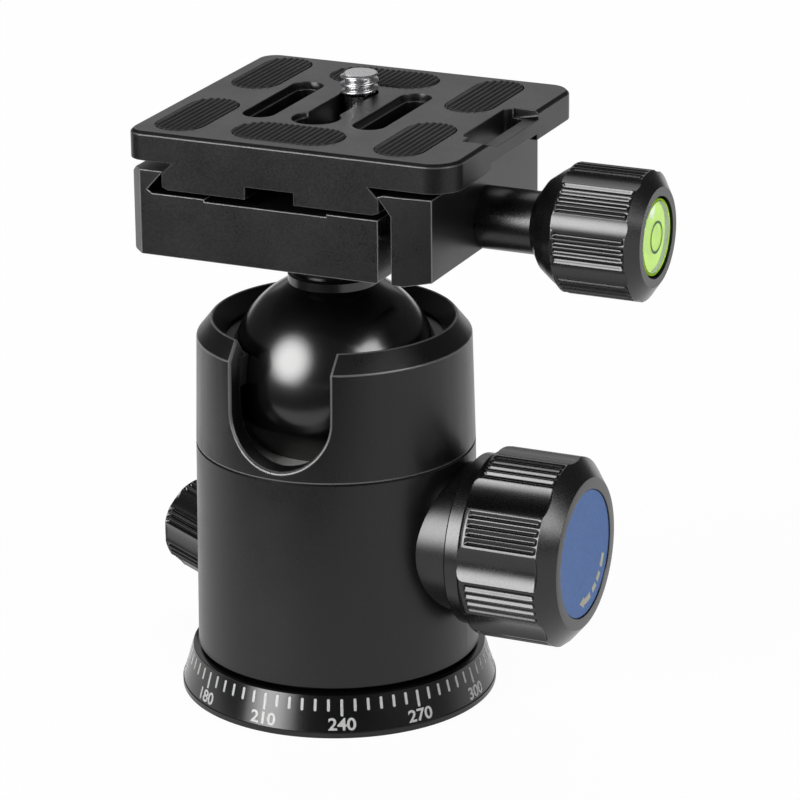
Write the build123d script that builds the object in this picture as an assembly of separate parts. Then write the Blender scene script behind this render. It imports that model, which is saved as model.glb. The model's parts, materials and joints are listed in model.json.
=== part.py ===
from build123d import *
import math
import os

os.makedirs("parts", exist_ok=True)

# Tripod ball head with a quick-release clamp and plate.
# Millimetres, +Z up, origin at the centre of the base's underside.
# +X is the side of the two big knobs, -Y is the side of the U notch.

# ---- clearances ---------------------------------------------------------------
fit_gap = 0.02  # pieces pressed, screwed or glued together
running_gap = 0.05  # screws, pins and sliding faces that move on each other
overshoot = 1.0  # how far a cutting shape reaches past what it cuts

# ---- base and panning dial ----------------------------------------------------
base_overhang = 2.82  # lip beyond the body's foot
base_lip_height = 1.0
base_height = 7.0
base_lip_bevel = 0.15
dial_top_overhang = 0.88
dial_ring_wall = 2.66
tripod_thread_radius = 3.99
bushing_wall = 3.01
boss_wall = 5.0
lower_washer_thickness = 0.4
lower_washer_inner_room = 1.0
lower_washer_outer_room = 2.0
upper_washer_thickness = 0.6
flange_thickness = 3.1
drum_overhang = 3.0  # drum beyond the boss, over the body's flange
drum_height = 6.7
drum_floor = 3.0
drum_rim_wall = 2.6
drum_edge_bevel = 0.5
drum_bore_room = 1.0  # drum's bore beyond the tripod thread
drum_screw_count = 4
drum_screw_inset = 2.4  # screw axis beyond the bushing
drum_screw_radius = 1.25
drum_screw_depth = 6.0
drum_screw_tip_room = 0.5
drum_screw_head_radius = 2.2
drum_screw_head_height = 2.4
drum_screw_socket_radius = 1.1
drum_screw_socket_depth = 1.3

# ---- body ---------------------------------------------------------------------
ball_room = 2.0  # cavity wall beyond the ball
spigot_length = 4.4
spigot_wall = 1.78
seam_wall = 2.0  # lower body's wall outside the spigot
body_taper = 0.45
body_foot_bevel = 0.3
seam_bevel = 0.22
seam_drop = 11.85  # below the ball's centre
brake_chamber_height = 8.45
floor_plate_thickness = 3.0
housing_taper = 0.47
rim_rise = 9.7  # above the ball's centre
rim_slope_width = 2.56
rim_slope_height = 3.0
rim_land = 0.3
mouth_room = 0.7
mouth_depth = 2.9
mouth_land = 0.6
notch_half_width = 8.87
notch_centre_drop = 1.34
notch_bevel = 0.35
housing_screw_radius = 1.5
housing_screw_azimuth = 90.0
housing_screw_dimple = 0.9
housing_screw_recess = 0.3
housing_screw_socket_radius = 0.75
housing_screw_socket_depth = 1.2
guide_rib_width = 2.3
guide_rib_height = 4.0
guide_rib_length = 28.0

# ---- ball and stem ------------------------------------------------------------
ball_radius = 17.5
stem_spigot_radius = 5.0
stem_spigot_depth = 5.0  # below the ball's centre
stem_collar_radius = 7.6
stem_collar_height = 1.836
stem_collar_bevel = 0.4
stem_waist_radius = 6.6
stem_waist_height = 3.8
stem_flange_radius = 8.2
stem_flange_height = 2.3
stem_flange_bevel = 0.3
lock_pin_radius = 1.5
lock_pin_recess = 0.3
seat_ring_height = 4.8
cup_floor_thickness = 5.35
cup_rim_drop = 11.6
cup_edge_bevel = 0.4

# ---- main locking knob --------------------------------------------------------
main_axis_height = 7.0  # above the cavity floor
main_screw_radius = 4.0
main_screw_engagement = 10.65
screw_head_radius = 4.3
screw_head_length = 3.0
screw_neck_radius = 2.9
screw_shoulder_gap = 0.3
wedge_half_length = 12.0
wedge_half_width = 7.0
wedge_middle_height = 10.0
wedge_angle = 15.0
wedge_slot_wall = 2.9
collar_hub_radius = 9.0
collar_rise = 1.97  # face beyond the body's seam radius
collar_flare_length = 2.0
collar_throat_length = 0.7
collar_face_inset = 0.15  # face radius inside the hub's
collar_flare_width = 0.95
collar_throat_width = 0.8
collar_face_bevel = 0.3
knob_rest_gap = 0.3
hub_inset = 1.5  # hub radius inside the grip's
hub_length = 2.75
hub_bevel = 0.3
hub_spigot_radius = 9.0
hub_spigot_length = 4.65
main_grip_radius = 15.8
main_grip_length = 16.6
main_grip_back_bevel_width = 0.8
main_grip_back_bevel = 1.3
main_grip_face_bevel_width = 3.1
main_grip_face_bevel = 2.6
main_disc_border = 2.25
main_disc_thickness = 1.2
main_disc_bevel = 0.2
main_disc_ring_gap = 0.35
main_disc_recess = 0.5
main_scallop_angle = 4.35
main_scallop_width = 21.0
main_scallop_radius = 4.8
main_groove_pitch = 5.5
main_groove_count = 5

# ---- panning lock knob --------------------------------------------------------
pan_azimuth = 148.8
pan_axis_height = 3.5  # above the drum's underside
pan_screw_radius = 2.5
pan_screw_engagement = 13.8
pan_tip_radius = 1.2
pan_tip_length = 1.0
pan_bush_radius = 5.6
pan_bush_rise = 2.12
pan_bush_hub_radius = 4.0
pan_grip_radius = 8.45
pan_grip_length = 17.7
pan_grip_back_bevel_width = 0.75
pan_grip_back_bevel = 1.0
pan_grip_face_bevel_width = 1.55
pan_grip_face_bevel = 1.4
pan_scallop_width = 24.0
pan_scallop_radius = 3.2
pan_groove_pitch = 7.5
pan_groove_count = 3
shoe_thickness = 2.1
shoe_gap = 0.1
shoe_width = 10.0
shoe_height = 5.6
shoe_lift = 0.6
shoe_room = 1.0

# ---- scallops and grooves shared by the three knobs ---------------------------
scallop_count = 8
groove_width = 0.75
groove_depth = 0.6

# ---- quick-release clamp ------------------------------------------------------
clamp_half_length = 22.15
clamp_floor_thickness = 10.45
clamp_recess_left = 11.5  # from the dovetail's middle
clamp_recess_right = 10.0
clamp_recess_depth = 0.42
clamp_corner_chamfer = 2.3
clamp_bottom_bevel = 0.3
clamp_side_inset = 0.15
fixed_lip_width = 6.25
fixed_lip_drop = 1.45  # below the plate's flange
fixed_lip_bevel = 0.95
fixed_undercut_width = 2.65
fixed_undercut_height = 0.55
fixed_floor_margin = 1.75
lip_gap = 0.06
lip_depth = 0.45
jaw_gap = 2.2
jaw_thickness = 6.9
jaw_drop = 1.05  # below the plate's flange
jaw_undercut_rise = 0.15
jaw_crest_margin = 0.85
jaw_foot_width = 2.1
jaw_taper_height = 1.05
jaw_taper_depth = 0.5
bolt_radius = 3.0
bolt_tip_rise = 5.0  # above the ball's centre
bolt_tip_room = 0.5
bolt_head_radius = 5.0
bolt_head_height = 3.2
bolt_socket_radius = 2.5
bolt_socket_depth = 2.0
bolt_head_gap = 0.3
guide_pin_radius = 1.5
guide_pin_inset = 8.15
guide_pin_height = 4.75
guide_pin_depth = 10.3
guide_pin_reach = 4.8
guide_hole_room = 1.2
spring_pocket_depth = 5.0
spring_outer_radius = 2.45
spring_inner_radius = 1.75
spring_side_gap = 0.3

# ---- clamp knob and level -----------------------------------------------------
clamp_axis_height = 6.0
clamp_screw_radius = 3.0
clamp_screw_wall = 1.7  # left between the bolt's head and the screw
clamp_screw_tip_room = 0.5
clamp_screw_engagement = 11.0
sleeve_radius = 5.15
sleeve_reach = 9.6
cone_first_inset = 2.96  # radius inside the grip's
cone_first_length = 1.8
cone_second_inset = 1.43
cone_second_length = 2.1
cone_end_inset = 0.4
cone_end_length = 1.6
grip_radius = 10.6
grip_length = 14.5
grip_back_bevel = 0.3
grip_face_bevel_width = 2.5
grip_face_bevel = 1.7
level_border = 0.95
core_spigot_length = 7.0
clamp_scallop_angle = 21.2
clamp_scallop_width = 15.5
clamp_scallop_radius = 14.0
clamp_groove_pitch = 7.5
clamp_groove_count = 4
level_wall = 0.55
level_floor = 0.8
level_front_recess = 0.15
lens_thickness = 1.4
level_bubble_radius = 1.5
level_bubble_margin = 0.8

# ---- plate --------------------------------------------------------------------
dovetail_centre_x = -0.7
dovetail_half_width = 19.15
dovetail_slope_width = 1.85
dovetail_height = 4.5
dovetail_foot_bevel = 1.1
dovetail_foot_height = 0.4
dovetail_lift = 0.75  # above the clamp's floor
plate_left_reach = 25.7
plate_right_reach = 31.6
plate_length = 52.05
plate_thickness = 4.9
plate_top_bevel = 0.6
plate_front_left_radius = 3.0
plate_front_right_radius = 5.0
plate_back_left_radius = 3.5
plate_back_right_radius = 4.0
slot_neck_gap = 0.25
slot_ledge_width = 0.6
slot_ledge_depth = 1.2
slot_front_margin = 14.45
slot_back_margin = 14.1
side_slot_offset = 9.85
entry_gap = 0.325
entry_counterbore_width = 0.55
entry_counterbore_depth = 0.8
pad_pocket_depth = 0.8
pad_thickness = 1.1
pad_edge_bevel = 0.15
pad_gap = 0.08
corner_pad_width = 8.3
corner_pad_length = 20.0
corner_pad_left_margin = 7.0  # margins run from the plate's edges to the middle of a pad
corner_pad_right_margin = 11.5
corner_pad_front_margin = 12.4
corner_pad_back_margin = 11.9
centre_pad_width = 19.0
centre_pad_length = 9.8
centre_pad_front_margin = 7.65
centre_pad_back_margin = 7.4
strap_slot_margin = 5.6
strap_slot_width = 3.3
strap_slot_front_margin = 16.85
strap_slot_length = 18.2
strap_slot_corner = 1.32
strap_lowering = 1.5
strap_ramp_lead = 2.7
strap_ramp_length = 4.0
strap_notch_back_lead = 0.6
strap_bar_thickness = 2.4
strap_relief_lead = 0.7

# ---- camera screw -------------------------------------------------------------
camera_screw_margin = 3.3  # from the slot's back end
camera_thread_radius = 3.175
camera_thread_length = 3.4
camera_thread_bevel = 0.4
camera_neck_radius = 2.5
camera_head_radius = 4.1
camera_head_gap = 0.15
camera_head_height = 1.35
camera_head_recess = 0.22
camera_washer_thickness = 0.4
coin_slot_width = 1.2
coin_slot_depth = 0.8

# ---- radii that follow from the sizes above -----------------------------------
cavity_radius = ball_radius + ball_room
spigot_radius = cavity_radius + running_gap + spigot_wall
seam_radius = spigot_radius + seam_wall
body_foot_radius = seam_radius + body_taper
housing_shoulder_radius = seam_radius - housing_taper
rim_radius = housing_shoulder_radius - rim_slope_width
mouth_radius = ball_radius + mouth_room
seat_radius = ball_radius + running_gap
base_radius = body_foot_radius + base_overhang
dial_top_radius = body_foot_radius + dial_top_overhang
base_core_radius = dial_top_radius - dial_ring_wall
bushing_radius = tripod_thread_radius + bushing_wall
boss_radius = bushing_radius + boss_wall
drum_radius = boss_radius + drum_overhang
drum_screw_circle = bushing_radius + drum_screw_inset
brake_chamber_radius = drum_radius + shoe_gap + shoe_thickness + shoe_room
hub_radius = main_grip_radius - hub_inset
collar_face_radius = hub_radius - collar_face_inset
collar_flare_radius = collar_face_radius - collar_flare_width
collar_throat_radius = collar_flare_radius - collar_throat_width
main_grip_face_radius = main_grip_radius - main_grip_face_bevel_width
main_disc_radius = main_grip_face_radius - main_disc_border
grip_face_radius = grip_radius - grip_face_bevel_width
core_spigot_radius = grip_face_radius - level_border
level_radius = core_spigot_radius - level_wall

# ---- heights, from the base upwards -------------------------------------------
flange_low_z = base_height + lower_washer_thickness + running_gap
flange_top_z = flange_low_z + flange_thickness
drum_low_z = flange_top_z + running_gap + upper_washer_thickness
drum_top_z = drum_low_z + drum_height
pan_axis_z = drum_low_z + pan_axis_height
chamber_top_z = flange_top_z + brake_chamber_height
cavity_floor_z = chamber_top_z + floor_plate_thickness
main_axis_z = cavity_floor_z + main_axis_height
wedge_low_z = cavity_floor_z + running_gap
wedge_middle_z = wedge_low_z + wedge_middle_height
ball_centre_z = wedge_middle_z + running_gap + cup_floor_thickness + seat_radius
cup_top_z = ball_centre_z - cup_rim_drop
seam_z = ball_centre_z - seam_drop
spigot_low_z = seam_z - spigot_length
notch_centre_z = ball_centre_z - notch_centre_drop
rim_z = ball_centre_z + rim_rise
housing_shoulder_z = rim_z - rim_slope_height
mouth_z = rim_z - mouth_depth
ball_flat_z = ball_centre_z + math.sqrt(ball_radius**2 - stem_collar_radius**2)
stem_collar_top_z = ball_flat_z + stem_collar_height
stem_flange_low_z = stem_collar_top_z + stem_waist_height
stem_top_z = stem_flange_low_z + stem_flange_height
clamp_bottom_z = stem_top_z + running_gap
clamp_floor_z = clamp_bottom_z + clamp_floor_thickness
clamp_axis_z = clamp_bottom_z + clamp_axis_height
guide_pin_z = clamp_bottom_z + guide_pin_height
bolt_tip_z = ball_centre_z + bolt_tip_rise
bolt_head_top_z = clamp_floor_z - clamp_recess_depth - bolt_head_gap
bolt_seat_z = bolt_head_top_z - bolt_head_height
dovetail_low_z = clamp_floor_z + dovetail_lift
flange_under_z = dovetail_low_z + dovetail_height
dovetail_slope_low_z = flange_under_z - dovetail_slope_width
plate_top_z = flange_under_z + plate_thickness
groove_height = camera_head_recess + camera_head_height + camera_washer_thickness + 2 * running_gap
groove_top_z = dovetail_low_z + groove_height

# ---- places along the knobs ---------------------------------------------------
wedge_slope = math.tan(math.radians(wedge_angle))
slot_start_x = wedge_half_length - wedge_slot_wall
collar_face_x = seam_radius + collar_rise
hub_start_x = collar_face_x + knob_rest_gap
main_grip_start_x = hub_start_x + hub_length
main_grip_end_x = main_grip_start_x + main_grip_length
main_screw_end_x = main_grip_start_x + main_screw_engagement
disc_front_x = main_grip_end_x - main_disc_recess
disc_back_x = disc_front_x - main_disc_thickness
pan_bush_end = body_foot_radius + pan_bush_rise
pan_grip_start = pan_bush_end + knob_rest_gap
pan_grip_end = pan_grip_start + pan_grip_length
pan_screw_end = pan_grip_start + pan_screw_engagement

# ---- places across the clamp and plate ----------------------------------------
dovetail_left_x = dovetail_centre_x - dovetail_half_width
dovetail_right_x = dovetail_centre_x + dovetail_half_width
clamp_left_x = dovetail_left_x - fixed_lip_width
clamp_right_x = dovetail_right_x - clamp_side_inset
spring_pocket_x = clamp_right_x - spring_pocket_depth
jaw_left_x = clamp_right_x + jaw_gap
jaw_right_x = jaw_left_x + jaw_thickness
jaw_crease_x = jaw_left_x + jaw_foot_width
guide_pin_y = clamp_half_length - guide_pin_inset
guide_pin_start_x = clamp_right_x - guide_pin_depth
guide_pin_end_x = jaw_left_x + guide_pin_reach
clamp_screw_start_x = bolt_head_radius + bolt_head_gap + clamp_screw_wall
sleeve_end_x = jaw_right_x + sleeve_reach
clamp_screw_end_x = sleeve_end_x + clamp_screw_engagement
cone_first_x = sleeve_end_x + cone_first_length
cone_second_x = cone_first_x + cone_second_length
grip_start_x = cone_second_x + cone_end_length
grip_end_x = grip_start_x + grip_length
core_spigot_end_x = grip_start_x + core_spigot_length
level_back_x = core_spigot_end_x + fit_gap
level_front_x = grip_end_x - level_front_recess
plate_left_x = dovetail_centre_x - plate_left_reach
plate_right_x = dovetail_centre_x + plate_right_reach
plate_front_y = -clamp_half_length
plate_back_y = plate_front_y + plate_length
slot_width = 2 * (camera_neck_radius + slot_neck_gap)
slot_front_y = plate_front_y + slot_front_margin
slot_back_y = plate_back_y - slot_back_margin
entry_radius = camera_thread_radius + entry_gap
camera_screw_y = slot_back_y - camera_screw_margin
strap_slot_left_x = plate_right_x - strap_slot_margin
strap_bar_left_x = strap_slot_left_x + strap_slot_width
strap_slot_front_y = plate_front_y + strap_slot_front_margin
strap_slot_back_y = strap_slot_front_y + strap_slot_length


# ---- shared shapes ------------------------------------------------------------
def turned(*outline):
    """A solid turned about Z from (radius, height) points."""
    profile = Polyline(*[(radius, 0, height) for radius, height in outline], close=True)
    return revolve(make_face(profile), Axis.Z)


def rod(radius, low, high):
    """A round bar about Z."""
    bar = Cylinder(radius, high - low, align=(Align.CENTER, Align.CENTER, Align.MIN))
    return Pos(0, 0, low) * bar


def block(x_range, y_range, z_range):
    """A box between two limits on each axis."""
    lows = [limits[0] for limits in (x_range, y_range, z_range)]
    sizes = [limits[1] - limits[0] for limits in (x_range, y_range, z_range)]
    return Pos(*lows) * Box(*sizes, align=(Align.MIN, Align.MIN, Align.MIN))


def along_x(shape, height, side=0):
    """Lay a shape made about Z along +X, at a height and a place across."""
    return Pos(0, side, height) * Rot(0, 90, 0) * shape


def along_pan(shape):
    """Lay a shape made about Z along the panning knob's axis."""
    return Rot(0, 0, pan_azimuth) * along_x(shape, pan_axis_z)


def prism(outline, front_y, back_y):
    """A bar along Y from (x, z) points."""
    profile = Polyline(*[(x, front_y, z) for x, z in outline], close=True)
    return extrude(make_face(profile), amount=back_y - front_y, dir=(0, 1, 0))


def body_radius(height):
    """Outer radius of the lower body, which tapers from foot to seam."""
    share = (height - flange_low_z) / (seam_z - flange_low_z)
    return body_foot_radius + share * (seam_radius - body_foot_radius)


def body_envelope(gap):
    """The body's outside as a full solid, wider by a gap."""
    return turned(
        (0, flange_low_z),
        (body_foot_radius + gap, flange_low_z),
        (seam_radius + gap, seam_z),
        (seam_radius + gap, rim_z),
        (0, rim_z),
    )


def ribbed_grip(envelope, radius, low, high, first_angle, width, scallop, pitch, count):
    """A knob grip: a turned envelope with scallops, and grooves between them.

    Angles are in degrees above the -Y direction once the knob lies along X.
    """
    chord = radius * math.sin(math.radians(width / 2))
    centre = radius * math.cos(math.radians(width / 2)) + math.sqrt(scallop**2 - chord**2)
    section = Circle(radius + overshoot)
    for index in range(scallop_count):
        turn = first_angle + index * 360 / scallop_count
        section -= Rot(0, 0, 270 - turn) * Pos(centre, 0) * Circle(scallop)
        for groove in range(count):
            angle = turn + 180 / scallop_count + (groove - (count - 1) / 2) * pitch
            cut = Rectangle(2 * groove_depth, groove_width)
            section -= Rot(0, 0, 270 - angle) * Pos(radius, 0) * cut
    return envelope & (Pos(0, 0, low - overshoot) * extrude(section, amount=high - low + 2 * overshoot))


# ---- base ---------------------------------------------------------------------
def base_disc():
    disc = turned(
        (0, 0),
        (base_radius, 0),
        (base_radius, base_lip_height - base_lip_bevel),
        (base_radius - base_lip_bevel, base_lip_height),
        (base_core_radius, base_lip_height),
        (base_core_radius, base_height),
        (boss_radius, base_height),
        (boss_radius, drum_low_z),
        (0, drum_low_z),
    )
    disc -= rod(bushing_radius + fit_gap, -overshoot, drum_low_z + overshoot)
    hole_low_z = drum_low_z - drum_screw_depth
    for place in drum_screw_places():
        disc -= place * rod(drum_screw_radius + fit_gap, hole_low_z, drum_low_z + overshoot)
    return disc


def dial_ring():
    return turned(
        (base_core_radius + fit_gap, base_lip_height),
        (base_radius - base_lip_bevel, base_lip_height),
        (dial_top_radius, base_height),
        (base_core_radius + fit_gap, base_height),
    )


def thread_bushing():
    return rod(bushing_radius, 0, drum_low_z) - rod(tripod_thread_radius, -overshoot, drum_low_z + overshoot)


def thrust_washers():
    lower_top_z = base_height + lower_washer_thickness
    lower = rod(base_core_radius - lower_washer_outer_room, base_height, lower_top_z)
    lower -= rod(boss_radius + lower_washer_inner_room, 0, lower_top_z + overshoot)
    upper = rod(drum_radius, drum_low_z - upper_washer_thickness, drum_low_z)
    upper -= rod(boss_radius + running_gap, 0, drum_low_z + overshoot)
    return Compound([lower.solid(), upper.solid()])


def drum_screw_places():
    return PolarLocations(drum_screw_circle, drum_screw_count, start_angle=45).locations


def pan_drum():
    drum_bore_radius = tripod_thread_radius + drum_bore_room
    drum = turned(
        (drum_bore_radius, drum_low_z),
        (drum_radius, drum_low_z),
        (drum_radius, drum_top_z - drum_edge_bevel),
        (drum_radius - drum_edge_bevel, drum_top_z),
        (drum_radius - drum_rim_wall, drum_top_z),
        (drum_radius - drum_rim_wall, drum_low_z + drum_floor),
        (drum_bore_radius, drum_low_z + drum_floor),
    )
    for place in drum_screw_places():
        drum -= place * rod(drum_screw_radius + fit_gap, drum_low_z - overshoot, drum_top_z)
    return drum


def drum_screws():
    head_z = drum_low_z + drum_floor
    screw = rod(drum_screw_radius, drum_low_z - drum_screw_depth + drum_screw_tip_room, head_z)
    screw += rod(drum_screw_head_radius, head_z, head_z + drum_screw_head_height)
    socket_z = head_z + drum_screw_head_height - drum_screw_socket_depth
    socket = RegularPolygon(drum_screw_socket_radius, 6)
    screw -= Pos(0, 0, socket_z) * extrude(socket, amount=drum_screw_socket_depth + overshoot)
    return Compound([(place * screw).solid() for place in drum_screw_places()])


# ---- body ---------------------------------------------------------------------
def lower_body():
    shell = turned(
        (boss_radius + running_gap, flange_low_z),
        (body_foot_radius - body_foot_bevel, flange_low_z),
        (body_radius(flange_low_z + body_foot_bevel), flange_low_z + body_foot_bevel),
        (body_radius(seam_z - seam_bevel), seam_z - seam_bevel),
        (seam_radius - seam_bevel, seam_z),
        (spigot_radius + fit_gap, seam_z),
        (spigot_radius + fit_gap, spigot_low_z - running_gap),
        (cavity_radius, spigot_low_z - running_gap),
        (cavity_radius, chamber_top_z),
        (brake_chamber_radius, chamber_top_z),
        (brake_chamber_radius, flange_top_z),
        (boss_radius + running_gap, flange_top_z),
    )
    outside = max(body_foot_radius, seam_radius) + overshoot
    collar_bore = rod(collar_hub_radius + fit_gap, cavity_radius - collar_hub_radius, outside)
    bush_bore = rod(pan_bush_hub_radius + fit_gap, brake_chamber_radius - pan_bush_hub_radius, outside)
    screw_bore = rod(housing_screw_radius + fit_gap, spigot_radius - overshoot, outside)
    return shell - along_x(collar_bore, main_axis_z) - along_pan(bush_bore) - housing_screw_path(screw_bore)


def housing_screw_path(shape):
    return Rot(0, 0, housing_screw_azimuth) * along_x(shape, (seam_z + spigot_low_z) / 2)


def notch_cutter(grown, near_y, far_y):
    """The U notch as a bar along Y, wider all round by grown."""
    half_width = notch_half_width + grown
    height = rim_z - notch_centre_z + overshoot
    round_end = Rot(90, 0, 0) * rod(half_width, -near_y, -far_y)
    straight = block((-half_width, half_width), (far_y, near_y), (0, height))
    return Pos(0, 0, notch_centre_z) * (round_end + straight)


def on_notch_rim(edge):
    """Whether an edge runs round the outside of the notch."""
    middle = edge @ 0.5
    in_notch = middle.Y < 0 and abs(middle.X) < notch_half_width + fit_gap
    outside = math.hypot(middle.X, middle.Y) > rim_radius + rim_land
    return in_notch and outside and middle.Z > seam_z + seam_bevel + fit_gap


def upper_housing():
    bore = cavity_radius + 2 * running_gap
    ring_top_z = mouth_z - mouth_land
    shell = turned(
        (bore, spigot_low_z),
        (spigot_radius, spigot_low_z),
        (spigot_radius, seam_z),
        (seam_radius - seam_bevel, seam_z),
        (seam_radius, seam_z + seam_bevel),
        (housing_shoulder_radius, housing_shoulder_z),
        (rim_radius + rim_land / 2, rim_z),
        (rim_radius - rim_land / 2, rim_z),
        (mouth_radius, mouth_z),
        (mouth_radius, ring_top_z),
        (bore, ring_top_z),
    )
    shell -= notch_cutter(0, 0, -seam_radius - overshoot)
    shell = chamfer([edge for edge in shell.edges() if on_notch_rim(edge)], notch_bevel)
    dimple = rod(housing_screw_radius + fit_gap, spigot_radius - housing_screw_dimple, seam_radius)
    return shell - housing_screw_path(dimple)


def housing_set_screw():
    outer_end = seam_radius - housing_screw_recess
    screw = rod(housing_screw_radius, spigot_radius - housing_screw_dimple + fit_gap, outer_end)
    socket = RegularPolygon(housing_screw_socket_radius, 6)
    socket_start = outer_end - housing_screw_socket_depth
    screw -= Pos(0, 0, socket_start) * extrude(socket, amount=housing_screw_socket_depth + overshoot)
    return housing_screw_path(screw)


def upper_seat_ring():
    top = mouth_z - mouth_land - fit_gap
    ring = rod(cavity_radius + running_gap, top - seat_ring_height, top)
    ring -= Pos(0, 0, ball_centre_z) * Sphere(seat_radius)
    return ring - notch_cutter(fit_gap, 0, -seam_radius)


def floor_plate():
    plate = rod(cavity_radius - running_gap, chamber_top_z, cavity_floor_z)
    rib_start = wedge_half_width + running_gap
    for side in (1, -1):
        near, far = sorted((side * rib_start, side * (rib_start + guide_rib_width)))
        reach = (-guide_rib_length / 2, guide_rib_length / 2)
        plate += block(reach, (near, far), (cavity_floor_z, cavity_floor_z + guide_rib_height))
    return plate


def knob_collar():
    back_x = cavity_radius - collar_hub_radius
    flare_x = collar_face_x - collar_flare_length
    flare = turned(
        (0, back_x),
        (collar_throat_radius, back_x),
        (collar_throat_radius, flare_x - collar_throat_length),
        (collar_flare_radius, flare_x),
        (collar_face_radius, collar_face_x - collar_face_bevel),
        (collar_face_radius - collar_face_bevel, collar_face_x),
        (0, collar_face_x),
    )
    hub = along_x(rod(collar_hub_radius, back_x, collar_face_x), main_axis_z)
    hub -= rod(cavity_radius + running_gap, 0, rim_z)
    collar = along_x(flare, main_axis_z) - body_envelope(fit_gap) + hub
    screw_hole = rod(main_screw_radius + running_gap, 0, collar_face_x + overshoot)
    return collar - along_x(screw_hole, main_axis_z)


def pan_bush():
    collar = along_pan(rod(pan_bush_radius, 0, pan_bush_end)) - body_envelope(fit_gap)
    hub = along_pan(rod(pan_bush_hub_radius, 0, pan_bush_end))
    hub -= rod(brake_chamber_radius + running_gap, 0, rim_z)
    bush = collar + hub
    return bush - along_pan(rod(pan_screw_radius + running_gap, 0, pan_bush_end + overshoot))


# ---- panning brake ------------------------------------------------------------
def pan_brake_shoe():
    inner = drum_radius + shoe_gap
    low = drum_low_z + shoe_lift
    outer = inner + shoe_thickness
    shoe = rod(outer, low, low + shoe_height) - rod(inner, 0, rim_z)
    arm = block((0, outer), (-shoe_width / 2, shoe_width / 2), (low, low + shoe_height))
    shoe &= Rot(0, 0, pan_azimuth) * arm
    tip_start = outer - pan_tip_length - running_gap
    return shoe - along_pan(rod(pan_tip_radius + running_gap, tip_start, outer + overshoot))


def pan_screw():
    shoulder = drum_radius + shoe_gap + shoe_thickness + running_gap
    screw = rod(pan_screw_radius, shoulder, pan_screw_end)
    return along_pan(screw + rod(pan_tip_radius, shoulder - pan_tip_length, shoulder))


def pan_knob_grip():
    envelope = turned(
        (0, pan_grip_start),
        (pan_grip_radius - pan_grip_back_bevel_width, pan_grip_start),
        (pan_grip_radius, pan_grip_start + pan_grip_back_bevel),
        (pan_grip_radius, pan_grip_end - pan_grip_face_bevel),
        (pan_grip_radius - pan_grip_face_bevel_width, pan_grip_end),
        (0, pan_grip_end),
    )
    grip = ribbed_grip(
        envelope,
        pan_grip_radius,
        pan_grip_start,
        pan_grip_end,
        0,
        pan_scallop_width,
        pan_scallop_radius,
        pan_groove_pitch,
        pan_groove_count,
    )
    return along_pan(grip - rod(pan_screw_radius + fit_gap, 0, pan_screw_end + fit_gap))


# ---- ball lock ----------------------------------------------------------------
def pressure_wedge():
    rise = wedge_half_length * wedge_slope
    wedge = prism(
        [
            (-wedge_half_length, wedge_low_z),
            (wedge_half_length, wedge_low_z),
            (wedge_half_length, wedge_middle_z + rise),
            (-wedge_half_length, wedge_middle_z - rise),
        ],
        -wedge_half_width,
        wedge_half_width,
    )
    head_start_x = slot_start_x - screw_head_length - 2 * running_gap
    for radius, end in (
        (screw_head_radius + running_gap, slot_start_x),
        (screw_neck_radius + running_gap, wedge_half_length + overshoot),
    ):
        wedge -= along_x(rod(radius, head_start_x, end), main_axis_z)
        above = (main_axis_z, wedge_middle_z + 2 * rise)
        wedge -= block((head_start_x, end), (-radius, radius), above)
    return wedge


def ball_cup():
    cup = rod(cavity_radius - 2 * running_gap, wedge_low_z, cup_top_z)
    cup = chamfer(cup.edges().group_by(Axis.Z)[-1], cup_edge_bevel)
    low = wedge_middle_z + running_gap
    reach = cavity_radius + overshoot
    below = prism(
        [
            (-reach, wedge_low_z - overshoot),
            (reach, wedge_low_z - overshoot),
            (reach, low + reach * wedge_slope),
            (-reach, low - reach * wedge_slope),
        ],
        -reach,
        reach,
    )
    return cup - below - Pos(0, 0, ball_centre_z) * Sphere(seat_radius)


def main_screw():
    head_start_x = slot_start_x - screw_head_length - running_gap
    head_end_x = slot_start_x - running_gap
    neck_end_x = wedge_half_length + screw_shoulder_gap
    screw = rod(screw_head_radius, head_start_x, head_end_x)
    screw += rod(screw_neck_radius, head_start_x, neck_end_x)
    screw += rod(main_screw_radius, neck_end_x, main_screw_end_x)
    return along_x(screw, main_axis_z)


def main_knob_hub():
    hub = turned(
        (main_screw_radius + fit_gap, hub_start_x),
        (hub_radius - hub_bevel, hub_start_x),
        (hub_radius, hub_start_x + hub_bevel),
        (hub_radius, main_grip_start_x),
        (hub_spigot_radius, main_grip_start_x),
        (hub_spigot_radius, main_grip_start_x + hub_spigot_length),
        (main_screw_radius + fit_gap, main_grip_start_x + hub_spigot_length),
    )
    return along_x(hub, main_axis_z)


def main_knob_grip():
    envelope = turned(
        (0, main_grip_start_x),
        (main_grip_radius - main_grip_back_bevel_width, main_grip_start_x),
        (main_grip_radius, main_grip_start_x + main_grip_back_bevel),
        (main_grip_radius, main_grip_end_x - main_grip_face_bevel),
        (main_grip_face_radius, main_grip_end_x),
        (0, main_grip_end_x),
    )
    grip = ribbed_grip(
        envelope,
        main_grip_radius,
        main_grip_start_x,
        main_grip_end_x,
        main_scallop_angle,
        main_scallop_width,
        main_scallop_radius,
        main_groove_pitch,
        main_groove_count,
    )
    spigot_end = main_grip_start_x + hub_spigot_length + fit_gap
    grip -= rod(hub_spigot_radius + fit_gap, 0, spigot_end)
    grip -= rod(main_screw_radius + fit_gap, 0, main_screw_end_x + fit_gap)
    grip -= rod(main_disc_radius + main_disc_ring_gap, disc_back_x, main_grip_end_x + overshoot)
    return along_x(grip, main_axis_z)


def main_knob_disc():
    disc = turned(
        (0, disc_back_x),
        (main_disc_radius, disc_back_x),
        (main_disc_radius, disc_front_x - main_disc_bevel),
        (main_disc_radius - main_disc_bevel, disc_front_x),
        (0, disc_front_x),
    )
    return along_x(disc, main_axis_z)


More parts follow.
